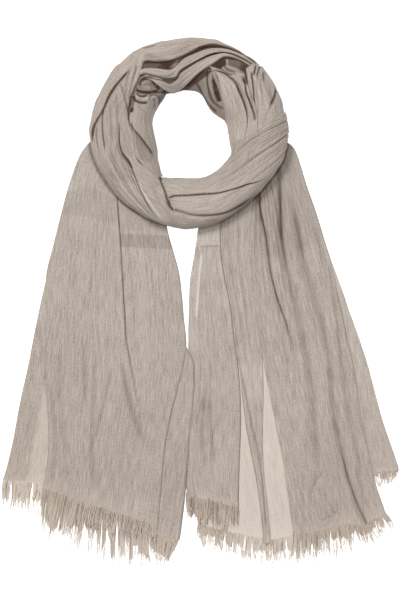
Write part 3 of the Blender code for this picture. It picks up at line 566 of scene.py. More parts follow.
# -- over the right shoulder, running in beneath the fan
shoulder_creases = [
    dict(line=[(276.4, 88), (275.0, 96), (271, 108)], groove=3.0, width=1.2, shade=0.78, line_width=1.2, fade=(3, 5)),
    dict(line=[(263.4, 73), (263.8, 78), (264.6, 84)], groove=2.0, width=1.5, shade=0.66, line_width=1.2, fade=(2, 4)),
    dict(line=[(264.6, 80), (268, 90), (270, 100)], groove=1.0, width=2.0, shade=0.16, line_width=1.8, fade=(4, 6)),
    dict(line=[(256.0, 63), (255.6, 68), (254.4, 73), (253.4, 78)], groove=2.4, width=0.9, shade=0.85, line_width=0.9, fade=(0.5, 4)),
    dict(line=[(260.6, 63), (260.0, 67), (258.0, 72), (256.6, 80)], groove=2.2, width=0.9, shade=0.80, line_width=0.8, fade=(0.5, 5)),
    dict(line=[(251.4, 73), (252.2, 80), (253.4, 88), (254.2, 100), (254.8, 110)], groove=2.4, width=0.9, shade=0.86, line_width=0.9, fade=(1, 8)),
    dict(line=[(258, 66), (256, 74), (255.2, 86), (256, 100)], ridge=1.2, width=1.2, fade=(1, 10)),
    dict(line=[(262.6, 66), (260, 76), (259, 88), (260, 102)], ridge=0.8, width=1.6, fade=(1, 10)),
    dict(line=[(269, 84), (271.4, 96), (270, 108), (264, 120)], groove=1.0, width=1.4, shade=0.22, fade=(6, 8)),
    dict(line=[(259, 67), (261, 84), (263, 100), (264, 116)], groove=0.9, width=1.6, shade=0.10, fade=(6, 14)),
    dict(line=[(268, 76), (272, 92), (276, 104), (282, 114)], ridge=0.8, width=2.4, fade=(10, 10)),
    dict(line=[(255.5, 84), (257.5, 98), (258, 110), (257, 122)], groove=1.2, width=1.3, shade=0.22, fade=(8, 10)),
]
pieces["right_shoulder_panel"] = ring_sheet(
    "right_shoulder_panel",
    [
        (43.5, 98.8, 41, 84.0, 0.2), (48, 99.8, 46, 78.8, 0.9), (56, 99.0, 53, 72.8, 0.2), (66, 98.6, 62, 70.0, 0.0), (76, 97.2, 72, 68.4, 0.0),
        (84, 96.6, 83, 66.6, 0.0), (92, 96.5, 93, 62.4, -0.2), (100, 96.0, 103, 60.0, -1.0),
    ],
    (110, 50),
    creases=shoulder_creases, zones=[([(268, 84), (300, 90), (300, 130), (276, 122)], -0.07, 5.0)], roll=((0.01, 0), (2.2, 3.4), (0.9, 1.6), (0.01, 0)), tuck=(2.2, 0), seed=11, crinkled=(0.12, 0.20), edge_shade=(0, 0.55, 0.5, 0),
)

# -- the bands over the top
pieces["outer_top_band"] = ring_sheet(
    "outer_top_band",
    [
        (312, 99.0, 322, 82.5, -1.0), (319, 98.8, 328, 83.5, -0.6), (330, 98.0, 335, 77.0, 0.4), (341, 95.8, 344, 73.8, 0.5), (352, 95.1, 353, 75.2, 0.5),
        (361, 95.4, 361, 80.2, 0.5), (368, 95.6, 367, 86.0, 0.5), (376, 96.0, 374, 90.6, 0.7), (384, 96.0, 383, 93.4, 0.3), (394, 96.4, 394, 95.0, 0.0), (405, 97.3, 405, 96.3, 0.0),
    ],
    (200, 32),
    creases=[
        dict(line=[(141, 49.6), (147, 47.8), (152, 46.6), (158, 44.6)], groove=1.8, width=1.1, shade=0.56, line_width=0.9, fade=(4, 5)),
        dict(line=[(146, 55), (154, 56.6), (164, 56), (176, 52.6), (190, 47)], groove=1.2, width=2.0, shade=0.12, line_width=1.8, fade=(3, 12)),
        dict(line=[(168, 45.6), (180, 44.4), (192, 42.4), (204, 42)], groove=0.9, width=1.0, shade=0.20, line_width=0.8, fade=(6, 8)),
        dict(line=[(176, 50.6), (186, 48), (196, 44.8), (208, 43)], groove=0.9, width=0.9, shade=0.24, line_width=0.7, fade=(6, 8)),
        dict(line=[(170, 41.6), (182, 40.6), (196, 40)], ridge=0.8, width=1.4, fade=(6, 6)),
        dict(line=[(150, 54), (164, 51.4), (178, 47.4), (192, 44)], ridge=1.2, width=2.0, fade=(10, 10)),
        dict(line=[(214, 46), (226, 50), (238, 55.4), (250, 61.6)], groove=0.9, width=1.2, shade=0.20, line_width=0.9, fade=(10, 10)),
        dict(line=[(160, 48), (175, 45), (190, 42.6)], groove=0.7, width=1.6, shade=0.10, fade=(8, 8)),
    ],
    roll=((0.01, 0), (1.8, 4.4), (0.01, 0), (0.01, 0)), tuck=(2.0, 0), seed=13, crinkled=(0.12, 0.22), edge_shade=(0, 0.90, 0, 0), base_shade=0.05,
    zones=[([(144, 54), (158, 58), (168, 60), (168, 66), (144, 65)], -0.16, 2.0), ([(166, 66), (182, 58), (196, 49), (190, 47), (172, 55)], -0.08, 2.0)],
)
pieces["middle_top_band"] = ring_sheet(
    "middle_top_band",
    [
        (317, 80.5, 313, 76.6, -2.0), (324, 79.0, 321, 73.4, -0.2), (332, 72.4, 328, 64.2, 0.4), (341.5, 65.4, 336, 57.6, 0.6),
        (348.5, 67.6, 345, 55.8, 0.8), (355, 73.3, 350, 60.8, 0.8), (365, 79.8, 360, 66.8, 0.8), (373, 85.6, 368, 73.4, 0.8),
        (380, 89.8, 377, 82.4, 0.6), (388, 92.6, 387, 88.8, 0.4), (396, 94.2, 396, 91.2, 0.1), (405, 95.8, 405, 93.4, -0.6),
    ],
    (200, 26),
    creases=[dict(line=[(172, 72), (180, 66), (190, 59), (204, 53), (218, 50.5), (232, 53)], groove=0.6, width=1.0, shade=0.14, line_width=0.7, fade=(10, 10)),
             dict(line=[(142, 74), (152, 76), (162, 77.6), (170, 77), (176, 72)], groove=1.2, width=1.0, shade=0.40, line_width=0.8, fade=(3, 4)),
             dict(line=[(180, 69), (190, 62.6), (202, 56.6), (216, 53.4)], groove=0.7, width=0.9, shade=0.18, line_width=0.6, fade=(6, 8))],
    zones=[([(140, 76), (150, 76.6), (163, 78.4), (171, 78.4), (175, 76), (175, 82), (160, 84), (140, 80)], -0.16, 1.2)],
    roll=((2.2, 3.8), (2.4, 4.0), (0.01, 0), (0.01, 0)), seed=17, crinkled=(0.12, 0.20), edge_shade=(0.3, 0.92, 0, 0),
)
pieces["inner_top_band"] = ring_sheet(
    "inner_top_band",
    [
        (321.0, 69.8, 321.6, 66.6, -1.6), (323.0, 67.2, 323.7, 62.8, -0.2), (327.0, 62.8, 325.0, 56.6, 0.2), (332.0, 58.0, 327.6, 49.6, 0.4), (338.4, 51.9, 334.0, 43.6, 0.6),
        (346.5, 54.0, 342, 42.2, 0.8), (351, 59.4, 352, 44.6, 0.8), (359, 64.6, 361, 50.6, 0.8), (368, 72.2, 371, 61.0, 0.6),
        (376, 80.0, 379, 71.4, 0.5), (384, 87.0, 385, 82.8, 0.3), (394, 90.0, 394, 87.6, 0.0), (404, 92.8, 404, 90.2, -0.8),
    ],
    (200, 28),
    creases=[dict(line=[(160, 84), (168, 89), (176, 88), (186, 80), (198, 71), (212, 60)], groove=0.6, width=1.2, shade=0.12, fade=(8, 10)),
             dict(line=[(178, 82), (186, 75), (196, 68), (208, 60.6), (220, 56)], groove=0.7, width=0.9, shade=0.20, line_width=0.7, fade=(5, 8))],
    roll=((2.0, 3.6), (2.6, 4.6), (0.01, 0), (0.01, 0)), seed=19, crinkled=(0.12, 0.20), edge_shade=(0.60, 0.70, 0, 0),
)

# -- low in the ring, behind and between the bands
wall_creases = [
    dict(line=[(207.7, 70), (206.8, 83.6), (209.5, 97), (213.9, 105), (223.5, 111)], side=-1, high=(1.2, 3.0), low=(2.2, 2.0), shade=0.55, fade=(4, 3)),
    dict(line=[(212.6, 80), (214.4, 86), (216.4, 90)], groove=3.0, width=1.2, shade=0.92, line_width=1.3, fade=(3, 1)),
    dict(line=[(214.8, 92), (217.2, 98), (219.8, 103.6)], groove=3.2, width=1.4, shade=0.95, line_width=1.7, fade=(3, 1)),
    dict(line=[(193, 82), (197.9, 88), (202.3, 96), (209.5, 106.8), (217, 113.6)], side=-1, high=(1.0, 2.5), low=(1.6, 1.6), shade=0.45, fade=(5, 4)),
    dict(line=[(180, 92), (190, 86), (198, 78), (205, 70)], groove=1.6, width=2.2, shade=0.45, fade=(4, 6)),
]
pieces["inner_back_wall"] = ring_sheet(
    "inner_back_wall",
    [
        (330, 49.0, 328, 44.0, -1.6), (341, 45.0, 341, 41.6, -1.4), (352, 48.0, 352, 41.4, -1.4), (361, 54.5, 361, 41.0, -1.6), (371, 64.5, 371, 38.8, -1.8),
        (379, 68.0, 381, 34.8, -1.4), (389, 58.0, 391, 31.2, -1.0), (401, 50.0, 402, 29.0, -1.0), (413, 44.0, 414, 29.4, -1.0), (422, 40.4, 423, 31.4, -1.2), (431, 39.0, 432, 33.8, -1.6),
    ],
    (130, 38),
    creases=wall_creases, roll=((3.0, 1.2), (0.01, 0), (0.01, 0), (0.01, 0)), tuck=(0, 0), seed=23, crinkled=(0.14, 0.30), base_shade=0.22,
    # zones: painted shade, deepest in the recesses beneath the bands' lower edges
    zones=[([(140, 70), (152, 81), (158, 86), (165, 90), (171, 92), (176, 91), (182, 87), (189, 80), (197, 75), (205, 69), (215, 61), (219, 66), (208, 76), (200, 81.6), (192, 87), (184, 93.4), (176, 96.4), (168, 97.4), (158, 94), (146, 88)], -0.50, 1.4),
           ([(180, 92), (190, 88), (200, 82), (206, 84), (200, 92), (190, 97), (176, 99)], -0.05, 2.0), ([(158, 84), (176, 97), (182, 92), (176, 91), (166, 90)], -0.2, 1.5),
           ([(160, 69), (171.6, 60.4), (180, 56), (177, 65), (170.5, 71)], -0.7, 1.0), ([(212, 76), (215.4, 84), (219, 92), (221, 102), (217.6, 102), (213, 90)], -0.5, 1.2)],
)
pieces["right_inner_folds"] = ring_sheet(
    "right_inner_folds",
    [
        (380, 78.0, 374, 62.0, -2.6), (386, 81.6, 381, 65.4, -0.8), (393, 86.6, 388, 67.8, -0.6), (399, 88.6, 396, 69.6, -0.6), (404, 91.6, 403, 79.6, -0.8), (410, 93.0, 409, 84.0, -2.0),
    ],
    (80, 38),
    creases=[
        dict(line=[(224.8, 59.9), (226.4, 67.0), (236, 70.7), (245.3, 75.7)], ridge=1.8, width=1.0, fade=(2, 2)),
        dict(line=[(224.0, 66), (227.4, 70.2), (236, 73.6), (244.6, 79.4)], groove=1.8, width=0.9, shade=0.62, line_width=0.8, fade=(2, 2)),
        dict(line=[(218, 68), (226, 73.4), (234, 77.4), (241, 84)], groove=1.0, width=0.9, shade=0.34, line_width=0.7, fade=(2, 2)),
    ],
    roll=((2.0, 3.0), (0.8, 0.8), (0.01, 0), (1.2, 1.0)), seed=29, crinkled=(0.12, 0.24), base_shade=0.14,
    zones=[([(227.4, 54), (236, 54), (256, 62), (251, 70), (246, 74.4), (236, 69.6), (228, 66.4)], -0.30, 0.8), ([(242, 64), (256, 64), (247, 76), (240, 71.6)], -0.35, 3.0),
           ([(216, 68), (227, 70), (238, 77.4), (245, 84), (240, 88), (230, 82), (214, 76)], -0.08, 1.0),
           ([(208, 64), (222, 54), (225.4, 57), (225.6, 66), (220, 70), (212, 68)], -0.78, 1.0)], edge_shade=(0.5, 0.2, 0, 0),
)

# -- the two necks of the tails, either side of the opening
pieces["inner_left_strip"] = ring_sheet(
    "inner_left_strip",
    [
        (327, 74.0, 337, 46.5, -3.6), (314, 71.0, 326, 43.2, -1.2), (305, 68.4, 316, 40.0, -0.6), (297, 65.6, 308, 39.0, -0.4), (289, 63.0, 302, 39.0, -0.2), (280, 60.8, 289, 38.4, -0.2),
        (269, 56.0, 274, 36.5, -0.2), (257, 56.4, 259, 35.0, -0.2), (246, 58.6, 246, 35.5, -0.4), (235, 57.0, 234, 36.9, -0.6), (226, 56.6, 220, 42.8, -0.8), (216, 58.0, 212, 48.0, -1.6),
    ],
    (200, 52),
    creases=[
        dict(line=[(131.5, 121), (133.6, 128.7), (138, 134), (142.3, 138.8), (147, 145), (151, 150.3), (154.4, 156)], side=1, high=(1.2, 4.0), low=(1.7, 1.5), shade=0.50, line_width=0.7, soft=0.22, soft_reach=2.5, fade=(5, 5)),
        dict(line=[(130, 92), (140, 89), (152, 88), (166, 94)], groove=3.6, width=4.5, fade=(1, 1)),
        dict(line=[(134.6, 89.6), (140, 92.6), (148, 94.0), (156, 93.6), (163, 94.6)], groove=2.0, width=1.2, shade=0.80, line_width=1.2, fade=(1, 4)),
        dict(line=[(137.2, 93.2), (138.6, 95.8), (141.2, 97.4), (145.0, 97.6), (148, 96)], groove=1.6, width=0.8, shade=0.74, line_width=0.8, fade=(1, 2)),
        dict(line=[(135.6, 94.4), (137.6, 99.0), (142.4, 101.2), (147.0, 100.6), (150, 98)], ridge=2.2, width=1.1, fade=(1, 2)),
        dict(line=[(133.6, 96.6), (136.0, 101.2), (140.0, 103.6), (145.4, 104.2), (148.4, 103.2)], groove=2.4, width=0.9, shade=0.88, line_width=1.0, fade=(1, 2)),
        dict(line=[(148.6, 101.8), (150.6, 97.8), (154.0, 96.0), (158.0, 97.0), (160.4, 101), (158.6, 107)], groove=1.5, width=0.8, shade=0.56, line_width=0.7, fade=(2, 5)),
        dict(line=[(150.6, 101.0), (153.0, 98.4), (156.2, 98.4), (158.4, 101.4), (157.4, 106), (155, 112)], ridge=1.6, width=1.1, fade=(1, 5)),
        dict(line=[(153.0, 101.6), (155.2, 101.2), (155.8, 104), (154.2, 109)], groove=0.9, width=0.8, shade=0.34, line_width=0.7, fade=(1, 3)),
        dict(line=[(140, 88), (140.6, 83.6), (144, 80.4), (149.4, 79.6)], groove=1.4, width=1.2, shade=0.62, line_width=1.0, fade=(2, 2)),
        dict(line=[(132.4, 108.4), (133.2, 111.2), (131.4, 114)], groove=2.4, width=1.2, shade=0.95, line_width=1.3, fade=(1, 1)),
        dict(line=[(137, 84), (142, 80.2), (149, 79.2), (154, 82.4), (160, 88)], groove=1.6, width=1.0, shade=0.75, line_width=0.9, fade=(2, 2)),
        dict(line=[(141.6, 90), (143.4, 85), (147.4, 83.4), (150.6, 87)], ridge=2.0, width=2.2, fade=(2, 2)),
        dict(line=[(137, 107), (144, 111), (150, 117)], groove=0.9, width=1.6, shade=0.12, fade=(4, 8)),
        dict(line=[(146, 112), (147, 124), (150, 136), (153, 148), (156, 160)], groove=0.7, width=1.3, shade=0.10, fade=(10, 12)),
        dict(line=[(138, 160), (142, 164.4), (147, 169), (152, 172.4), (157, 176)], groove=1.6, width=1.2, shade=0.56, line_width=0.9, fade=(3, 4)),
        dict(line=[(150, 122), (152.6, 136), (156, 148), (159, 160)], ridge=0.8, width=1.8, fade=(8, 10)),
    ],
    roll=((2.0, 1.6), (0.01, 0), (0.01, 0), (0.01, 0)), seed=31, crinkled=(0.13, 0.28),
    zones=[([(134, 78), (152, 76), (166, 90), (167, 96), (158, 94), (150, 94.4), (141, 93.4), (134, 90)], -0.30, 0.8), ([(142, 83), (149, 82.6), (150, 89.4), (142.6, 89.4)], 0.16, 1.6),
           ([(136.6, 91), (150, 92.6), (152, 96), (146, 97.6), (141, 97.4), (138, 95)], -0.24, 0.8), ([(151.6, 80.6), (156, 82.6), (167, 91.6), (168, 96), (161, 92.4), (154, 87)], -0.55, 0.8),
           ([(133.4, 82), (137, 89), (135.4, 97), (135.6, 102.4), (134.0, 108), (130, 117), (127, 112), (130, 98)], -0.42, 0.8), ([(134, 130), (142, 139.6), (150, 150.6), (154, 156.6), (151, 164), (139, 160), (136, 150), (134, 140)], -0.20, 1.6),
           ([(158.6, 96), (168, 94), (166, 100), (159, 108), (157.6, 104)], -0.30, 1.0)],
)
pieces["inner_right_strip"] = ring_sheet(
    "inner_right_strip",
    [
        (31, 67.4, 20, 66.0, -2.6), (37, 66.6, 26, 61.6, 0.0), (43, 66.0, 34, 53.4, 0.3), (51, 62.8, 46, 45.4, 0.3), (61, 60.8, 61, 39.2, 0.2), (71, 59.5, 75, 36.2, 0.1),
        (82, 57.8, 89, 36.4, 0.0), (93, 56.2, 104, 38.8, 0.0), (104, 56.0, 114, 43.4, -1.2),
    ],
    (150, 46),
    creases=[
        dict(line=[(229, 84), (235, 96), (239, 108), (241.5, 120), (241, 134)], groove=0.8, width=1.4, shade=0.12, fade=(8, 10)),
        dict(line=[(219, 82), (226, 96), (230, 110), (232, 126), (234, 140)], ridge=0.6, width=2.2, fade=(8, 10)),
    ],
    roll=((1.1, 1.8), (2.0, 2.6), (0.01, 0), (0.01, 0)), seed=37, crinkled=(0.12, 0.22), edge_shade=(0.55, 0.1, 0, 0),
)
pieces["right_shoulder_folds"] = ring_sheet(
    "right_shoulder_folds",
    [
        (37, 82.0, 34, 68.0, -2.6), (43, 79.6, 41, 68.4, -0.4), (51, 74.4, 50, 65.2, 0.0), (60, 71.6, 60, 62.0, 0.0), (69, 70.2, 70, 60.2, 0.0), (79, 69.2, 81, 58.0, -0.1), (90, 67.0, 93, 55.0, -0.2), (99, 66.0, 102, 54.0, -1.0),
    ],
    (110, 28),
    creases=[
        dict(line=[(243.0, 79), (245.2, 85), (246.4, 94), (250.6, 105), (254.6, 117), (255.2, 124)], groove=3.0, width=1.0, shade=0.74, line_width=0.8, fade=(2, 5)),
        dict(line=[(251.0, 74), (252.2, 80), (253.4, 88), (254.0, 100)], groove=2.6, width=0.9, shade=0.80, line_width=0.9, fade=(1, 6)),
        dict(line=[(247.4, 76), (249.4, 86), (251.4, 98), (253.4, 108)], groove=1.2, width=0.8, shade=0.30, line_width=0.7, fade=(3, 10)),
        dict(line=[(238.4, 82), (242, 92), (246, 106), (249, 122)], groove=0.8, width=0.9, shade=0.16, line_width=0.7, fade=(3, 14)),
    ],
    roll=((1.0, 1.6), (0.8, 0.8), (0.01, 0), (0.01, 0)), seed=41, crinkled=(0.10, 0.20), edge_shade=(0.3, 0.2, 0, 0), lift=0.5,
    zones=[([(226, 68), (238.4, 77.2), (244.7, 83.4), (246, 93), (251, 104), (255, 122), (240, 122), (230, 80)], -0.07, 1.0), ([(240, 77), (247, 77), (247, 86), (243, 84)], -0.35, 1.0)],
)


# -- the hidden layers, as one rounded solid that is flat beneath
def hidden_layers():
    n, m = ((240, 60))
    angle = np.linspace(0, 360, n, endpoint=False)[:, None] + np.zeros((1, m))
    turn = np.linspace(0, np.pi, m)[None, :] + np.zeros((n, 1))
    outer, inner, crest, over = ring_at(angle)
    skin = 5.6
    outer = outer - (skin + 10.5 * over) / (U * 1000)
    inner = inner + skin * 0.75 / (U * 1000)
    r = (outer + inner) / 2 + (outer - inner) / 2 * np.cos(turn)
    z = (crest - skin) * np.maximum(np.sin(turn), 0) ** DOME_POWER
    around = np.radians(angle) * 88
    ripple = 1.5 * (noise(turn * 4.2 + 0.6 * np.sin(np.radians(angle) * 2), (angle % 360) / 45.0 * 0 + 3, 61))
    soft = 0.8 * noise(turn * 9.0 + 1.3 * np.sin(np.radians(angle) * 3 + 1), np.full_like(angle, 5.5), 62)
    a = np.radians(angle)
    x, y = RING_X + r * np.sin(a), RING_Y - r * np.cos(a)
    dent, dark = creases_at(x.ravel(), y.ravel(), [
        dict(line=[(142, 62.8), (152, 63.2), (160, 63.0), (168, 61.4), (176, 58)], groove=2.0, width=1.4, shade=0.9, line_width=1.0, fade=(1, 4)),
        dict(line=[(144, 56), (156, 55.4), (168, 53.4), (178, 50)], groove=0.8, width=1.4, shade=0.2, fade=(2, 4)),
    ])
    z = np.maximum(z + (ripple + soft + dent.reshape(n, m)) * np.sin(turn), 0)
    z[:, 0] = z[:, -1] = 0
    light = zones_at(x.ravel(), y.ravel(), [
        ([(140, 50), (184, 44), (178, 56), (166, 62.4), (140, 62.4)], 0.20, 0.8), ([(140, 63.4), (166, 63.4), (176, 61), (170, 72), (140, 71)], -0.14, 0.8),
        ([(156, 70), (163, 64.6), (172, 62), (169, 71)], -0.25, 0.8), ([(160, 64), (170, 60), (180, 56), (192, 50), (206, 43), (210, 47), (198, 54), (186, 60), (176, 65), (166, 69)], -0.34, 1.0),
        ([(171, 69), (176, 61), (181, 59), (176, 66)], 0.25, 0.8),
    ])
    xyz = to_row(x, y, z).reshape(-1, 3)
    index = np.arange(n * m).reshape(n, m)
    nxt = np.roll(index, -1, 0)
    quads = np.stack([index[:, :-1], index[:, 1:], nxt[:, 1:], nxt[:, :-1]], -1).reshape(-1, 4)
    base = np.stack([index[:, -1], index[:, 0], nxt[:, 0], nxt[:, -1]], -1)
    quads = np.concatenate([quads, base])
    mesh = bpy.data.meshes.new("neck_loop_hidden_layers")
    mesh.from_pydata(xyz.tolist(), [], quads.tolist())
    layer = mesh.uv_layers.new(name="cloth")
    uv = np.stack([r * U, around * U], -1).reshape(-1, 2)
    layer.data.foreach_set("uv", uv[quads.ravel()].astype(np.float32).ravel())
    colour = mesh.color_attributes.new("light_shade_and_tint", "FLOAT_COLOR", "POINT")
    rgba = np.zeros((n * m, 4), np.float32)
    # painted shade: the hidden layers show only in shadowed pockets and gaps, so they are painted dark all over, with a
    # painted shade line along the pocket and painted lighter and darker zones
    rgba[:, 1] = painted_shade_amount(1 - (1 - np.clip(0.46 - light, 0, 1)) * (1 - dark))
    rgba[:, 3] = 1
    colour.data.foreach_set("color", rgba.ravel())
    mesh.shade_smooth()
    mesh.materials.append(GAUZE)
    obj = bpy.data.objects.new("neck_loop_hidden_layers", mesh)
    bpy.context.scene.collection.objects.link(obj)
    import bmesh
    bm = bmesh.new()
    bm.from_mesh(mesh)
    bmesh.ops.recalc_face_normals(bm, faces=bm.faces)
    bm.to_mesh(mesh)
    bm.free()
    return obj


hidden = hidden_layers()


# ------------------------------------------------------------------ the tails
def tail_sheet(name, rows, size, base, creases=(), zones=(), roll=((0, 0), (0, 0)), drops=((0, 0), (1, 0)), crinkled=(0.16, 0.30), seed=1,
               material=None, edge_shade=(0, 0), tilt=None, floor=0.3, sink=None):
    """A tail panel. base: its resting height in mm. roll: (width in draft units, drop in mm) at its left and right edges."""
    n, m = size
    table = catmull(rows, np.linspace(0, 1, n))
    across = np.linspace(0, 1, m)[None, :]
    x0, y0, x1, y1, bow = (table[:, k:k + 1] for k in range(5))
    dx, dy = x1 - x0, y1 - y0
    wide = np.hypot(dx, dy)
    down = np.linspace(0, 1, n)[:, None]
    out = bow * 4 * across * (1 - across)
    drop = np.interp(across, [d[0] for d in drops], [d[1] for d in drops]) * ease((down - 0.85) / 0.15)
    x = x0 + dx * across - dy / wide * out
    y = y0 + dy * across + dx / wide * out + drop
    ragged = ease((down - 0.93) / 0.07)
    y = y + 0.9 * noise(across * wide / 1.6 + 0 * down, down * 2, seed + 30) * ragged
    u = (across - 0.5) * wide * U * 1000
    v = np.concatenate([np.zeros((1, m)), np.cumsum(np.hypot(np.diff(x, axis=0), np.diff(y, axis=0)), axis=0)], 0) * U * 1000
    v = v.mean(1, keepdims=True) + 0 * v
    height, shade = creases_at(x.ravel(), y.ravel(), creases)
    height, shade = height.reshape(n, m), shade.reshape(n, m)
    calm = ease((down - 0.02) / 0.14)
    z = base + calm * (height + crinkle(u, v, seed, *crinkled)) + 0 * x
    if sink:
        z = z + sink[1] * ease(1 - (across if sink[0] == 0 else 1 - across) * wide / sink[2]) * ease((y - 318) / 20)
    if tilt is not None:
        z = z + tilt(x, y) * calm
    left, right = across * wide, (1 - across) * wide
    for (w, d), distance, dark in zip(roll, (left, right), edge_shade):
        if d:
            z = z - edge_drop(distance, w, d) * (0.35 + 0.65 * calm)
        if dark:
            shade = 1 - (1 - shade) * (1 - dark * np.exp(-((distance / 0.9) ** 2)))
    above = z - floor
    z = floor + (above + np.sqrt(above ** 2 + 0.35 ** 2)) / 2  # it settles softly on what lies beneath it
    bearing = np.degrees(np.arctan2(x - RING_X, RING_Y - y)) % 360
    beyond = np.hypot(x - RING_X, y - RING_Y) - ring_at(bearing)[0] - 2.3
    # painted shadow on the tail just outside the ring's rim: a thin dark line and a wider soft darkening
    shade = 1 - (1 - shade) * (1 - 0.30 * np.exp(-((np.maximum(beyond, 0) / 0.7) ** 2))) * (1 - 0.12 * np.exp(-np.maximum(beyond, 0) / 5.0))
    light = zones_at(x.ravel(), y.ravel(), zones).reshape(x.shape) + 0.13 * ease((down - 0.94) / 0.06)
    uv = np.stack([u * 0.001 + seed * 0.37 + 0 * x, v * 0.001 + seed * 0.61], -1)
    obj = sheet_object(name, to_row(x, y, z), uv, (np.maximum(light, 0), shade + np.maximum(-light, 0)), material or GAUZE)
    return obj, (x, y, z), float(wide.mean()) * U, float(v[-1, 0]) * 0.001


LEFT_UNDER = [
    (94.5, 142, 163, 212, 9), (83, 156, 165, 232, 12), (72, 184, 169, 252, 9), (62.5, 216, 174, 274, 5), (54.3, 246, 180, 297, 2), (46.8, 276, 183, 322, 0),
    (40.4, 304, 186, 345, 0), (34.5, 332, 193.6, 362, 0), (28, 366, 194.5, 386, 0), (20, 402, 192.5, 414, 0), (13, 440, 189, 446, 0), (7, 466, 186, 490, 0), (3, 480, 180, 540, 0),
]
LEFT_PANEL = [
    (93, 139, 165, 213, 10.5), (81, 153, 168, 232, 12), (69.5, 183, 173, 250, 9), (60, 218, 179, 272, 5), (53, 246, 182, 295, 2), (46, 276, 184, 318, 0),
    (45.5, 310, 186.4, 344, 0), (46, 345, 183, 366, 0), (46, 385, 177, 392, 0), (48, 420, 169, 425, 0), (48, 455, 164, 458, 0), (43, 488, 158, 526, 0),
]
RIGHT_UNDER = [
    (202, 220, 281, 144, 8), (198, 238, 292, 150, 12), (195, 258, 303, 178, 10), (191, 280, 316, 212, 6), (189, 304, 328.5, 252, 2), (188.6, 330, 343, 292, 0), (188.2, 343, 349, 310, 0),
    (187.6, 360, 357, 332, 0), (189.8, 392, 367, 362, 0), (188.6, 420, 374, 388, 0), (185.6, 446, 382, 418, 0), (185, 478, 390, 442, 0), (191, 507, 397, 462, 0), (203.5, 526, 399, 470.5, 0),
]
RIGHT_LEFT = [
    (200, 219, 220, 214, 3), (197, 236, 220.6, 232, 3), (194, 256, 221.4, 254, 2), (190, 280, 225, 278, 1), (188.8, 310, 231, 308, 0), (188.6, 343, 234.5, 340, 0),
    (194.6, 366, 238, 364, 0), (194.2, 392, 240.6, 394, 0), (191.4, 420, 241, 424, 0), (189.0, 448, 240, 456, 0), (191.5, 476, 239, 486, 0), (196.5, 497, 239, 508, 0),
]
RIGHT_STRIP = [
    (221.4, 213, 253, 193, 2), (221.8, 231, 251, 216, 2), (222.8, 253, 250, 243, 1), (226.2, 277, 251, 272, 0), (232.2, 307, 255, 305, 0), (235.7, 339, 259.5, 337, 0),
    (239.2, 364, 262.6, 362, 0), (241.8, 392, 263.4, 394, 0), (245.6, 424, 262.8, 425, 0), (251.5, 456, 263.0, 456, 0), (257.5, 488, 265.6, 488, 0), (261.5, 520, 269.2, 520, 0), (263.5, 543, 271.2, 543, 0),
]
RIGHT_MAIN = [
    (254.4, 192, 283, 141, 5), (252.4, 215, 295, 150, 8), (251.4, 242, 307, 186, 7), (252.4, 272, 320.5, 226, 3), (256.4, 304, 333, 272, 1), (260.9, 336, 344, 323, 0),
    (264, 364, 353, 362, 0), (269.5, 394, 358, 395, 0), (276, 426, 363, 428, 0), (283, 460, 370, 456, 0), (287.5, 492, 376, 484, 0), (293, 530, 386, 514, 0),
]

tails = {}
tails["left_tail_under"] = tail_sheet(
    "left_tail_under", LEFT_UNDER, (120, 70), 1.2,
    drops=((0, 0), (0.22, -13), (0.5, -12), (0.78, -6), (0.88, 2), (1, 0)), roll=((1.2, 0.7), (1.6, 0.6)), seed=43, crinkled=(0.06, 0.05), edge_shade=(0, 0.35), sink=(1, 0.9, 7.0),
    creases=[
        dict(line=[(188, 350), (187, 380), (182, 410), (178, 440), (176, 480), (173, 515)], groove=0.6, width=1.8, shade=0.10, fade=(10, 14)),
        dict(line=[(14, 450), (22, 452), (30, 470)], groove=0.3, width=2.0, shade=0.04, fade=(6, 6)),
        dict(line=[(33, 400), (26, 440), (18, 474)], groove=0.4, width=2.2, shade=0.08, fade=(12, 8)),
    ],
    zones=[([(46, 383), (50, 400), (50, 500), (40, 492), (27, 488), (36, 430)], 0.22, 1.2), ([(155, 340), (200, 340), (200, 500), (186, 560), (140, 560), (150, 470)], -0.06, 3.0)],
)
thin = np.random.default_rng(3)
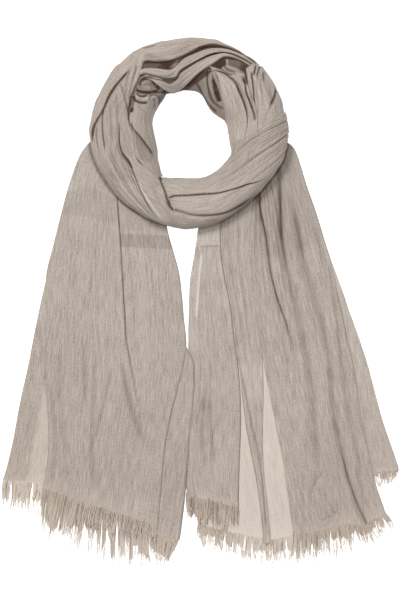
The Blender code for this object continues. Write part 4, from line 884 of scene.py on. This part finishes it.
left_panel_creases = [
    dict(line=[(116.6, 190), (118.2, 214), (119.9, 237), (121.6, 266), (123.3, 295), (124.6, 318), (126, 340), (130.4, 364), (135.5, 394), (141, 420), (144, 436)],
         side=-1, high=(0.9, 7.0), low=(1.7, 0.9), shade=0.56, line_width=0.7, soft=0.06, soft_reach=5, fade=(4, 90)),
    dict(line=[(92.3, 262), (91.6, 280), (90, 298), (88.4, 316)], groove=0.8, width=1.1, shade=0.20, fade=(16, 14)),
    dict(line=[(52, 380), (54, 410), (56, 440), (54, 470), (50, 488)], groove=1.4, width=2.6, shade=0.14, line_width=2.4, fade=(18, 10)),
    dict(line=[(84, 335), (85, 360), (86, 384), (84, 410)], groove=1.8, width=2.6, shade=0.22, line_width=2.2, fade=(16, 16)),
    dict(line=[(95.5, 352), (95, 380), (93.4, 420), (92, 458), (94, 490)], groove=1.7, width=2.4, shade=0.19, line_width=2.0, fade=(16, 16)),
    dict(line=[(112, 366), (107, 392), (100, 420), (94.6, 446)], groove=1.5, width=2.0, shade=0.20, line_width=1.6, fade=(16, 16)),
    dict(line=[(122, 360), (126, 384), (132, 410), (140, 432), (146, 450)], groove=2.3, width=3.2, shade=0.28, line_width=2.8, fade=(16, 18)),
    dict(line=[(62, 350), (60, 385), (62, 420), (66, 455), (68, 480)], groove=1.4, width=3.2, shade=0.12, line_width=2.8, fade=(20, 14)),
    dict(line=[(74, 330), (72, 365), (74, 400), (78, 440), (80, 480)], ridge=0.7, width=3.4, fade=(20, 14)),
    dict(line=[(104, 300), (103, 340), (102, 390), (104, 430), (108, 470)], ridge=0.7, width=3.2, fade=(20, 14)),
    dict(line=[(150, 262), (152, 300), (150, 350), (147, 400), (146, 450)], ridge=0.9, width=4.0, fade=(20, 20)),
    dict(line=[(163, 250), (168, 300), (168, 345), (161, 390), (155, 430)], groove=0.7, width=2.4, shade=0.06, fade=(20, 20)),
    dict(line=[(137, 280), (136, 300), (134, 322)], groove=0.7, width=2.2, shade=0.10, fade=(10, 10)),
    dict(line=[(110, 225), (111, 262), (110, 300)], groove=0.5, width=1.6, shade=0.06, fade=(10, 20)),
    dict(line=[(102, 228), (103, 265), (101, 300)], groove=0.4, width=1.4, shade=0.05, fade=(10, 20)),
    dict(line=[(70, 318), (78, 326), (88, 336), (97, 343)], groove=0.5, width=1.6, shade=0.06, fade=(8, 8)),
    dict(line=[(66, 328), (75, 337), (84, 346)], groove=0.4, width=1.4, shade=0.05, fade=(8, 8)),
    dict(line=[(112, 470), (116, 500), (122, 516)], groove=0.4, width=2.0, shade=0.06, fade=(10, 6)),
]
for line in between_lines([(66, 200), (58, 250), (51, 300), (52, 350), (54, 400)], [(114, 205), (117, 250), (120, 300), (124, 350), (132, 400)], (np.arange(11) + 0.5 + thin.uniform(-0.4, 0.4, 11)) / 11):
    deep = thin.uniform(0.2, 1.0)
    left_panel_creases.append(dict(line=line, groove=0.6 * deep, width=thin.uniform(0.8, 1.8), shade=0.13 * deep, line_width=thin.uniform(0.6, 1.2), fade=(thin.uniform(4, 60), thin.uniform(20, 90))))
for line in between_lines([(123, 210), (125, 260), (128, 310), (132, 350)], [(170, 240), (177, 280), (182, 320), (180, 360)], (np.arange(7) + 0.5 + thin.uniform(-0.4, 0.4, 7)) / 7):
    deep = thin.uniform(0.2, 1.0)
    left_panel_creases.append(dict(line=line, groove=0.6 * deep, width=thin.uniform(0.8, 1.8), shade=0.13 * deep, line_width=thin.uniform(0.6, 1.2), fade=(thin.uniform(4, 40), thin.uniform(20, 60))))
tails["left_tail_panel"] = tail_sheet(
    "left_tail_panel", LEFT_PANEL, (210, 140), 2.9,
    drops=((0, 0), (0.4, 1), (1, 0)), creases=left_panel_creases, roll=((2.2, 1.6), (2.2, 1.6)), seed=47, crinkled=(0.07, 0.06), edge_shade=(0.03, 0.30), floor=1.6,
    zones=[
        ([(52, 196), (90, 186), (116, 200), (117, 223), (100, 221), (88, 216), (50, 214)], -0.11, 0.9),
        ([(119.5, 190), (175, 225), (175, 233), (119.5, 230)], -0.05, 1.5),
        ([(120, 233.6), (175, 236), (175, 249.6), (121, 246.6)], -0.19, 0.8),
        ([(48, 300), (44, 330), (46, 385), (54, 420), (58, 360)], -0.04, 4.0), ([(20, 120), (200, 120), (200, 600), (20, 600)], -0.03, 1.0),
        ([(124, 200), (150, 200), (176, 226), (150, 226)], -0.16, 5.0),
    ],
    tilt=lambda x, y: 1.5 * noise(x / 24, y / 120, 71) + 0.7 * noise(x / 10, y / 80, 72),
)
tails["right_tail_under"] = tail_sheet(
    "right_tail_under", RIGHT_UNDER, (130, 85), 1.2,
    drops=((0, 0), (0.21, 21), (0.36, 34), (0.57, 34), (0.71, 30), (0.80, 10), (0.86, -6), (1, 0)), roll=((1.2, 0.3), (1.2, 0.6)), seed=53, crinkled=(0.06, 0.05), sink=(0, -0.75, 8.0),
    creases=[
        dict(line=[(246, 400), (250, 450), (255, 500), (257, 530)], groove=0.4, width=1.6, shade=0.05, fade=(12, 10)),
        dict(line=[(272, 430), (276, 470), (280, 520)], groove=0.3, width=1.6, shade=0.05, fade=(12, 10)),
        dict(line=[(242, 424), (245, 460), (247, 500), (248, 524)], groove=0.3, width=1.0, shade=0.10, line_width=0.8, fade=(12, 10)),
        dict(line=[(244.4, 440), (249, 476), (252, 510), (253, 530)], groove=0.3, width=0.9, shade=0.12, line_width=0.7, fade=(12, 10)),
        dict(line=[(268, 400), (271.6, 440), (275, 484), (277, 530)], groove=0.3, width=1.0, shade=0.10, line_width=0.8, fade=(14, 10)),
        dict(line=[(271, 420), (277, 458), (282, 500), (286, 532)], groove=0.3, width=0.9, shade=0.12, line_width=0.7, fade=(14, 10)),
    ],
    zones=[
        ([(236, 396), (240, 360), (270, 360), (300, 560), (196, 560), (200, 520), (236, 500)], 0.46, 1.2),
        ([(330, 265), (345, 320), (362, 400), (374, 470), (410, 480), (380, 380), (352, 290)], 0.10, 2.0),
    ],
)
thin = np.random.default_rng(15)
strip_pleats = []
for line in between_lines([(222.5, 214), (223.4, 253), (227, 277), (233, 307), (236.6, 339), (240.4, 364), (244, 392)], [(251.6, 196), (249, 243), (250.4, 272), (254.2, 305), (258.4, 337), (261.8, 362), (262.6, 394)],
                          (np.arange(8) + 0.5 + thin.uniform(-0.4, 0.4, 8)) / 8):
    deep = thin.uniform(0.5, 1.0)
    strip_pleats.append(dict(line=line, groove=1.0 * deep, width=thin.uniform(0.8, 1.3), shade=0.26 * deep, line_width=thin.uniform(0.6, 0.9), fade=(2, thin.uniform(30, 120))))
left_panel_pleats = []
for line in between_lines([(203, 250), (199, 290), (198, 330), (199, 370), (197, 420)], [(219, 248), (223, 290), (230, 330), (235, 370), (236, 420)], (np.arange(9) + 0.5 + thin.uniform(-0.4, 0.4, 9)) / 9):
    deep = thin.uniform(0.3, 1.0)
    left_panel_pleats.append(dict(line=line, groove=0.7 * deep, width=thin.uniform(0.8, 1.4), shade=0.18 * deep, line_width=thin.uniform(0.6, 0.9), fade=(thin.uniform(6, 60), thin.uniform(20, 80))))
tails["right_tail_left_panel"] = tail_sheet(
    "right_tail_left_panel", RIGHT_LEFT, (180, 50), 2.7,
    roll=((2.0, 1.4), (1.8, 1.6)), seed=59, crinkled=(0.09, 0.10), edge_shade=(0.04, 0.50), floor=1.35,
    creases=left_panel_pleats + [
        dict(line=[(199.5, 247), (208, 246.6), (219.5, 246)], side=-1, high=(0.6, 2.0), low=(0.8, 1.2), shade=0.40, line_width=0.8, fade=(1, 1)),
        dict(line=[(207, 380), (204, 410), (202, 440), (206, 470)], groove=1.1, width=2.4, shade=0.26, line_width=1.8, fade=(14, 12)),
        dict(line=[(212, 392), (210.6, 416), (213, 440), (211, 466)], groove=0.9, width=1.8, shade=0.20, line_width=1.4, fade=(14, 12)),
        dict(line=[(216, 420), (213, 450), (214, 482)], groove=0.7, width=1.8, shade=0.10, fade=(12, 10)),
        dict(line=[(228, 330), (232, 370), (233, 410), (230, 450), (231, 490)], ridge=0.8, width=2.6, fade=(12, 12)),
        dict(line=[(209, 262), (211, 300), (214, 340), (217, 380)], groove=0.7, width=1.4, shade=0.10, fade=(14, 14)),
        dict(line=[(202, 262), (199.4, 290), (197, 316)], ridge=0.7, width=1.2, fade=(8, 8)),
        dict(line=[(220, 300), (225, 340), (228, 380)], groove=0.6, width=1.2, shade=0.08, fade=(12, 12)),
        dict(line=[(197, 370), (200, 400), (197, 430)], groove=0.7, width=1.8, shade=0.12, fade=(10, 12)),
    ],
    zones=[([(194, 215), (222, 208), (222, 246), (196, 247)], 0.10, 0.6), ([(202.6, 255), (199.6, 290), (197, 318), (195.4, 316), (197, 290), (200.4, 255)], 0.45, 0.8),
           ([(190, 400), (214, 400), (214, 496), (190, 496)], -0.07, 6.0), ([(150, 180), (260, 180), (260, 560), (150, 560)], 0.05, 1.0)],
)
tails["right_tail_fold_strip"] = tail_sheet(
    "right_tail_fold_strip", RIGHT_STRIP, (180, 26), 3.0,
    roll=((1.4, 1.4), (2.6, 1.2)), seed=61, crinkled=(0.07, 0.07), edge_shade=(0.30, 0.0), floor=1.55,
    creases=strip_pleats + [
        dict(line=[(228, 214), (229, 250), (235, 290), (243, 330), (248, 370)], groove=0.9, width=1.6, shade=0.14, fade=(10, 16)),
        dict(line=[(238, 205), (239, 240), (243, 280), (249, 330)], groove=0.6, width=1.4, shade=0.08, fade=(10, 16)),
        dict(line=[(245, 200), (245, 240), (247, 280), (252, 330)], ridge=0.8, width=1.8, fade=(10, 16)),
        dict(line=[(240, 362), (246, 394), (252, 424), (258, 450), (262.4, 480), (265, 510), (267, 530)], groove=1.3, width=1.1, shade=0.34, line_width=0.9, fade=(20, 10)),
        dict(line=[(252, 372), (254.5, 400), (257, 426), (260, 452)], groove=0.7, width=1.4, shade=0.14, fade=(14, 12)),
    ],
    zones=[([(240, 366), (262, 366), (262, 400), (246, 400)], 0.12, 6.0)],
)
right_main_creases = [
    dict(line=[(259.6, 190), (260.6, 208), (262.6, 220), (265.7, 233), (267.8, 249), (270.8, 271), (274.9, 289), (281, 308), (286, 322), (291.5, 340), (296.6, 362), (301.6, 386.5), (305, 406)],
         side=1, high=(1.2, 5.0), low=(1.9, 3.0), shade=0.42, line_width=1.2, soft=0.22, soft_reach=4, fade=(3, 130)),
    dict(line=[(278.6, 160), (279.2, 178), (280, 194), (280.4, 206), (280.8, 218), (282, 239), (285.8, 263.7), (290.7, 285.8), (297.4, 308), (303.4, 337), (307.7, 362), (311.6, 387), (313.4, 410), (315, 436), (318, 456), (322, 480)],
         groove=2.0, width=3.4, shade=0.27, line_width=3.2, fade=(4, 50)),
    dict(line=[(279.6, 180), (280.4, 200), (280.8, 216), (281.6, 232), (284, 250)], groove=0.6, width=1.6, shade=0.30, line_width=1.4, fade=(14, 22)),
    dict(line=[(287, 180), (291, 196), (294.8, 212), (297.6, 228), (300.6, 244), (304.4, 263.7), (312.4, 288), (319.6, 312.8), (324.9, 337), (329.6, 362), (331.6, 388), (335, 418), (341.6, 447), (348.8, 478), (356.4, 502), (364, 518), (369, 527)],
         groove=2.0, width=3.4, shade=0.29, line_width=3.0, fade=(50, 8)),
    dict(line=[(340, 446), (345, 466), (350, 484), (356, 500), (362, 514), (368, 526)], side=1, high=(0.8, 3.0), low=(1.0, 1.2), shade=0.40, fade=(16, 3)),
    dict(line=[(312.7, 225), (323, 251), (330, 271), (335, 297), (339, 330), (343, 370), (349, 410), (354.6, 440), (358.8, 461), (362, 490), (367.9, 510)], groove=1.6, width=2.6, shade=0.16, line_width=2.0, fade=(14, 12)),
    dict(line=[(272, 210), (275, 240), (280, 270), (286, 300), (293, 330)], ridge=1.9, width=3.0, fade=(12, 20)),
    dict(line=[(288.6, 205), (290.6, 235), (295.4, 262), (301.6, 287), (309, 312), (315, 345), (319.6, 375)], ridge=1.6, width=3.6, fade=(12, 24)),
    dict(line=[(304, 200), (309, 225), (316, 250), (323, 277), (330, 305), (336, 345), (343, 400)], ridge=1.6, width=4.0, fade=(12, 24)),
    dict(line=[(276, 400), (282, 430), (288, 460), (293, 500), (298, 530)], ridge=0.5, width=2.0, fade=(12, 10)),
    dict(line=[(300, 380), (303, 420), (308, 460), (310, 500)], ridge=1.5, width=5.5, fade=(24, 24)),
    dict(line=[(327, 400), (332, 440), (336, 476), (342, 510)], ridge=1.6, width=4.4, fade=(24, 12)),
    dict(line=[(262, 330), (268, 370), (275, 410)], groove=0.5, width=1.6, shade=0.06, fade=(12, 12)),
    dict(line=[(326, 470), (318, 478), (312, 490), (310, 502)], groove=0.7, width=1.5, shade=0.18, fade=(4, 6)),
    dict(line=[(338, 511), (332, 514.5), (326, 518), (320, 523)], groove=0.9, width=1.1, shade=0.30, fade=(3, 5)),
    dict(line=[(332, 520), (327, 524), (322, 528)], groove=0.6, width=1.0, shade=0.18, fade=(2, 3)),
    dict(line=[(346, 370), (352, 410), (357, 450), (364, 490), (374, 516)], groove=0.6, width=1.6, shade=0.08, fade=(14, 8)),
]
thin = np.random.default_rng(9)
EDGE_LEFT = [(255, 195), (253, 225), (252.4, 255), (254, 290), (259, 330), (264, 365), (270, 398)]
EDGE_RIGHT = [(283, 150), (297, 170), (309, 200), (322, 236), (334, 280), (344, 325), (352, 365)]
for k, line in enumerate(between_lines(EDGE_LEFT, EDGE_RIGHT, (np.arange(17) + 0.5 + thin.uniform(-0.4, 0.4, 17)) / 17)):
    deep = thin.uniform(0.3, 1.0) * (1.0 if k < 9 else 0.6)
    right_main_creases.append(dict(line=line, groove=0.9 * deep, width=thin.uniform(0.8, 1.6), shade=0.20 * deep, line_width=thin.uniform(0.6, 1.0), fade=(2, thin.uniform(40, 150))))
tails["right_tail_main_panel"] = tail_sheet(
    "right_tail_main_panel", RIGHT_MAIN, (200, 110), 3.1,
    drops=((0, 0), (0.05, 4), (0.25, 5), (0.6, 3), (0.75, 8), (0.85, 4), (1, 0)), creases=right_main_creases, roll=((2.2, 1.4), (2.0, 1.6)), seed=67,
    crinkled=(0.07, 0.06), edge_shade=(0.04, 0.18), floor=1.6,
    zones=[([(252, 150), (300, 120), (330, 206), (300, 262), (252, 250)], -0.14, 9.0), ([(300, 430), (340, 430), (344, 520), (300, 530)], -0.04, 8.0)],
    tilt=lambda x, y: 1.2 * noise(x / 22, y / 130, 81) + 0.6 * noise(x / 9, y / 80, 82),
)


# ------------------------------------------------------------------ fringes
def fringe(name, hem, seed, lean, reach, tuft=4.0, tip=0.7, radius=0.36, wild=1.0, narrow=(0.50, 0.90), brown=0.0, overlap=1.6, pale=0.34,
           solid=(0.42, 0.78), strands=7, strokes=0.25, start=((0, 0.10), (1, 0.10))):
    """The hem's loose ends: flat tufts of threads that lie together and part into single threads towards their ends.
    hem: rows of draft x, y and height in mm; lean and reach: rows of share, value; solid: where the flat part of a tuft stops."""
    rng = np.random.default_rng(seed)
    hem = np.asarray(hem, float)
    along = np.r_[0, np.cumsum(np.hypot(*np.diff(hem[:, :2], axis=0).T))]
    total = along[-1]
    verts, faces, uvs, lightening, darks = [], [], [], [], []
    marks = [0.0]
    while marks[-1] < total:
        marks.append(marks[-1] + tuft * rng.uniform(0.45, 1.6))
    marks = np.array(marks) * (total / marks[-1])
    at = lambda rows, share: float(np.interp(share, [r[0] for r in rows], [r[1] for r in rows]))
    columns, steps, rings = 5, 9, 7
    count = max(3, int(round(strands * (1.0))))
    for g in range(len(marks) - 1):
        middle, half = (marks[g] + marks[g + 1]) / 2, (marks[g + 1] - marks[g]) / 2
        share = middle / total
        size = at(reach, share) * rng.uniform(0.80, 1.06)
        slant = at(lean, share)
        curl, bend = rng.normal(0, 1.5) * wild, rng.normal(0, 0.8) * wild
        pull = rng.uniform(-0.5, 0.5) * half
        end_width = rng.uniform(*narrow)
        lift = rng.uniform(0, 0.12)
        stop = rng.uniform(*solid)
        mx = np.interp(middle, along, hem[:, 0])

        def spot(q, t, s):
            """Draft x, y and height at a share t down the tuft; q from -1 to 1 across it, s its place on the hem."""
            hx, hy, hz = (np.interp(s, along, hem[:, k]) for k in range(3))
            closing = float(ease(np.array((t - 0.25) / 0.75)))
            w = half * (1 - (1 - end_width) * closing)
            x = hx + (mx + q * w + pull * closing - hx) * min(1, t * 1.2) + slant * size * t + curl * t * t + bend * math.sin(math.pi * min(t, 1))
            y = hy - overlap * (1 - t) ** 2 + size * t
            z = hz - 0.12 * (1 - t) + (tip + lift - hz) * float(ease(np.array(t * 1.5)))
            return x, y, z

        ragged = rng.uniform(0.78, 1.06, columns)
        first = len(verts)
        hem_light = at(start, share)
        for i in range(steps):
            for c in range(columns):
                q = c / (columns - 1) * 2 - 1
                t = i / (steps - 1) * ragged[c] * stop
                s = float(np.clip(middle + q * (half + 0.25), 0, total))
                x, y, z = spot(q, t, s)
                verts.append(to_row(x, y, max(z + 0.10 * math.sin(c * 2.6 + g), 0.35)))
                uvs.append((s * U + seed * 0.11, y * U))
                # the tufts are painted paler towards their tips, where the thinning threads let the pale ground through
                lightening.append(hem_light + pale * float(ease(np.array(t * 1.1))) + rng.uniform(-0.05, 0.05))
                darks.append(brown * (1 - 0.5 * t) + 0.05 * rng.uniform() * min(1, 3 * t))
        top = np.array(verts[first:])
        verts.extend(top - np.array([0, 0, 0.00028]))
        uvs.extend(uvs[first:first + steps * columns])
        lightening.extend(lightening[first:first + steps * columns])
        darks.extend(darks[first:first + steps * columns])
        n = steps * columns
        grid = np.arange(n).reshape(steps, columns) + first
        for i in range(steps - 1):
            for c in range(columns - 1):
                a, b, d, e = grid[i, c], grid[i, c + 1], grid[i + 1, c + 1], grid[i + 1, c]
                faces.append((a, e, d, b))
                faces.append((a + n, b + n, d + n, e + n))
        rim = list(grid[0]) + list(grid[1:, -1]) + list(grid[-1, -2::-1]) + list(grid[-2:0:-1, 0])
        for a, b in zip(rim, rim[1:] + rim[:1]):
            faces.append((a, b, b + n, a + n))
        for k in range(count):
            q = (k + rng.uniform(0.1, 0.9)) / count * 2 - 1
            s = float(np.clip(middle + q * half, 0, total))
            far = rng.uniform(0.74, 1.10)
            wander, wave = rng.normal(0, 1.1) * wild, rng.uniform(0, 6.28)
            stroke = rng.uniform() < strokes
            dark = rng.uniform(0.28, 0.62) if stroke else 0.0
            light = 0.10 if stroke else hem_light + rng.uniform(0.12, 0.50)
            from_top = rng.uniform(0.02, 0.45)
            path, shares = [], []
            for i in range(rings):
                t = from_top + (far - from_top) * i / (rings - 1)
                x, y, z = spot(q, t, s)
                x += wander * t * t + 0.4 * math.sin(wave + 6 * t) * t
                path.append(to_row(x, y, max(z + 0.30 - 0.1 * t, 0.45)))
                shares.append(t)
            path = np.array(path)
            first = len(verts)
            for i in range(rings):
                d = path[min(i + 1, rings - 1)] - path[max(i - 1, 0)]
                d /= max(np.linalg.norm(d), 1e-9)
                across = np.cross(d, (0, 0, 1))
                across /= max(np.linalg.norm(across), 1e-9)
                up = np.cross(across, d)
                r = radius * (1.1 - 0.45 * shares[i]) * (0.75 if stroke else 1.0)
                for w in range(3):
                    angle = 2 * math.pi * w / 3 + math.pi / 6
                    verts.append(path[i] + (across * math.cos(angle) + up * math.sin(angle)) * r * 0.001)
                    uvs.append((0.11 * (k + 8 * g) % 1.0 + w * 0.0004, i * 0.004))
                    lightening.append(light * (0.5 + 0.5 * shares[i]))
                    darks.append(dark + brown * (1 - 0.6 * shares[i]))
            for i in range(rings - 1):
                for w in range(3):
                    a, b = first + i * 3 + w, first + i * 3 + (w + 1) % 3
                    faces.append((a, b, b + 3, a + 3))
            faces.append((first + 2, first + 1, first))
            faces.append(tuple(first + (rings - 1) * 3 + w for w in range(3)))
    mesh = bpy.data.meshes.new(name)
    mesh.from_pydata([tuple(v) for v in verts], [], [tuple(int(i) for i in f) for f in faces])
    layer = mesh.uv_layers.new(name="cloth")
    index = np.zeros(len(mesh.loops), np.int32)
    mesh.loops.foreach_get("vertex_index", index)
    layer.data.foreach_set("uv", np.asarray(uvs, np.float32)[index].ravel())
    colour = mesh.color_attributes.new("light_shade_and_tint", "FLOAT_COLOR", "POINT")
    rgba = np.zeros((len(verts), 4), np.float32)
    rgba[:, 0] = np.clip(lightening, 0, 1)
    rgba[:, 1] = np.clip(darks, 0, 1)
    rgba[:, 2] = 0.8
    rgba[:, 3] = 1
    colour.data.foreach_set("color", rgba.ravel())
    mesh.shade_flat()
    mesh.materials.append(GAUZE_ENDS)
    obj = bpy.data.objects.new(name, mesh)
    bpy.context.scene.collection.objects.link(obj)
    return obj


def hem_of(tail, first, last, rise=0.0, before=()):
    """Rows of x, y, z along a panel's hem between two shares across."""
    x, y, z = tail[1]
    m = x.shape[1]
    pick = [j for j in range(m) if first <= j / (m - 1) <= last]
    rows = np.stack([x[-1, pick], y[-1, pick], z[-1, pick] + rise], 1)
    return np.concatenate([np.asarray(before, float), rows]) if len(before) else rows


fringes = {
    "left_fringe_lower": fringe("left_fringe_lower", hem_of(tails["left_tail_under"], 0.0, 1.0), 101, tuft=5.6, start=((0, 0.32), (0.22, 0.38), (0.3, 0.15), (1, 0.10)), narrow=(0.50, 0.85), solid=(0.60, 0.92),
                                lean=[(0, -0.06), (0.2, -0.14), (0.5, -0.06), (0.8, -0.02), (0.9, -0.12), (1, -0.42)],
                                reach=[(0, 21), (0.05, 31), (0.2, 33), (0.26, 42), (0.42, 56), (0.53, 58), (0.66, 53), (0.76, 44), (0.84, 34), (0.93, 29), (1, 18)], tip=0.6, strands=11),
    "left_fringe_upper": fringe("left_fringe_upper", hem_of(tails["left_tail_panel"], 0.0, 1.0), 103, tuft=3.4, narrow=(0.45, 0.9), solid=(0.60, 0.95),
                                lean=[(0, -0.08), (0.15, -0.24), (0.4, -0.22), (0.7, -0.18), (1, -0.25)], brown=0.04, overlap=3.0, pale=0.24, strokes=0.40,
                                reach=[(0, 40), (0.15, 42), (0.3, 36), (0.36, 27), (0.6, 22), (0.85, 19), (1, 15)], tip=1.8),
    "right_fringe_lower": fringe("right_fringe_lower", hem_of(tails["right_tail_under"], 0.0, 0.62, before=[(199.4, 517, 0.8)]), 107, tuft=4.8, narrow=(0.45, 0.8), solid=(0.46, 0.80),
                                 lean=[(0, -0.04), (0.4, -0.10), (0.8, 0.02), (1, 0.05)], reach=[(0, 21), (0.3, 24), (0.55, 28), (0.8, 27), (1, 25)], tip=0.6, strands=11, start=((0, 0.10), (0.27, 0.20), (0.33, 0.42), (0.78, 0.42), (0.84, 0.15), (1, 0.10)), pale=0.25),
    "right_fringe_corner": fringe("right_fringe_corner", hem_of(tails["right_tail_under"], 0.85, 1.0), 109, tuft=3.6,
                                  lean=[(0, 0.10), (0.5, -0.1), (1, -0.5)], reach=[(0, 18), (0.5, 17), (1, 8)], tip=0.6, solid=(0.30, 0.60)),
    "right_fringe_left": fringe("right_fringe_left", hem_of(tails["right_tail_left_panel"], 0.0, 1.0, before=[(186.4, 497, 0.9), (190, 500, 1.0), (194.6, 499, 1.6)]), 113,
                                lean=[(0, -0.05), (1, -0.08)], reach=[(0, 17), (0.14, 20), (0.22, 30), (0.6, 27), (0.9, 23), (1, 21)], tip=1.9, brown=0.10, narrow=(0.7, 1.0), overlap=5.0, pale=0.10,
                                solid=(0.70, 0.98), strokes=0.45),
    "right_fringe_main": fringe("right_fringe_main", hem_of(tails["right_tail_main_panel"], 0.0, 1.0), 127, tuft=4.4, narrow=(0.4, 0.8), solid=(0.42, 0.76),
                                lean=[(0, -0.02), (0.3, 0.02), (0.5, 0.10), (0.8, 0.22), (1, 0.8)], reach=[(0, 30), (0.25, 30), (0.5, 28), (0.7, 20), (0.8, 21), (0.9, 16), (1, 13)], tip=0.8, strands=10),
}

# ------------------------------------------------------------------ how the pieces belong to the solids
for name, (obj, wide, long) in pieces.items():
    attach(obj, "root")
    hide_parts(name)
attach(hidden, "root")
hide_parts("neck_loop_core")
held_by = {
    "left_tail_under": "left_fringe_lower", "left_tail_panel": "left_fringe_upper", "right_tail_under": "right_fringe_lower",
    "right_tail_left_panel": "right_fringe_left", "right_tail_main_panel": "right_fringe_main", "right_tail_fold_strip": None,
}
for name, obj in fringes.items():
    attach(obj, "root")
    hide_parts(name)
for name, (obj, grid, wide, long) in tails.items():
    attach(obj, "root")
    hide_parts(name)
    with_pieces = [fringes[held_by[name]]] if held_by[name] else []
    if name == "right_tail_under":
        with_pieces.append(fringes["right_fringe_corner"])

# ------------------------------------------------------------------ floor, light, camera
floor_mesh = bpy.data.meshes.new("floor")
floor_mesh.from_pydata([(-4, -4, 0), (4, -4, 0), (4, 4, 0), (-4, 4, 0)], [], [(0, 1, 2, 3)])
floor = bpy.data.objects.new("floor", floor_mesh)
bpy.context.scene.collection.objects.link(floor)
floor.location.z = -0.0005
pale = bpy.data.materials.new("pale_floor")
pale.use_nodes = True
pale.node_tree.nodes["Principled BSDF"].inputs["Base Color"].default_value = (0.90, 0.90, 0.90, 1)
pale.node_tree.nodes["Principled BSDF"].inputs["Roughness"].default_value = 1.0
pale.node_tree.nodes["Principled BSDF"].inputs["Specular IOR Level"].default_value = 0.0
pale.node_tree.nodes["Principled BSDF"].inputs["Emission Color"].default_value = (1, 1, 1, 1)
pale.node_tree.nodes["Principled BSDF"].inputs["Emission Strength"].default_value = 0.55
floor_mesh.materials.append(pale)

world = bpy.data.worlds.new("studio")
bpy.context.scene.world = world
world.use_nodes = True
world.node_tree.nodes["Background"].inputs["Color"].default_value = (1.0, 1.0, 1.0, 1)
world.node_tree.nodes["Background"].inputs["Strength"].default_value = 0.30


def area_light(name, place, aim, size, power, colour=(1, 1, 1)):
    light = bpy.data.lights.new(name, "AREA")
    light.shape = "DISK"
    light.size = size
    light.energy = power
    light.color = colour
    obj = bpy.data.objects.new(name, light)
    obj.location = place
    obj.rotation_euler = (Vector(aim) - Vector(place)).to_track_quat("-Z", "Y").to_euler()
    obj.visible_camera = False
    bpy.context.scene.collection.objects.link(obj)


area_light("key", (-0.95, 1.30, 2.15), (0, 0, 0), 0.7, 50)
area_light("fill", (0.4, -0.2, 2.6), (0, 0, 0), 1.1, 30)

camera = bpy.data.cameras.new("camera")
camera.sensor_fit = "VERTICAL"
camera.sensor_height = 36
distance = 6.0
camera.lens = 36 * distance / (601 * U)
camera.clip_end = 50
view = bpy.data.objects.new("camera", camera)
view.location = ((200.5 - CX) * U, (CY - 300.5) * U, distance)
view.rotation_euler = (0, 0, 0)
bpy.context.scene.collection.objects.link(view)
bpy.context.scene.camera = view
bpy.context.scene.view_settings.view_transform = "Standard"
bpy.context.scene.view_settings.look = "None"
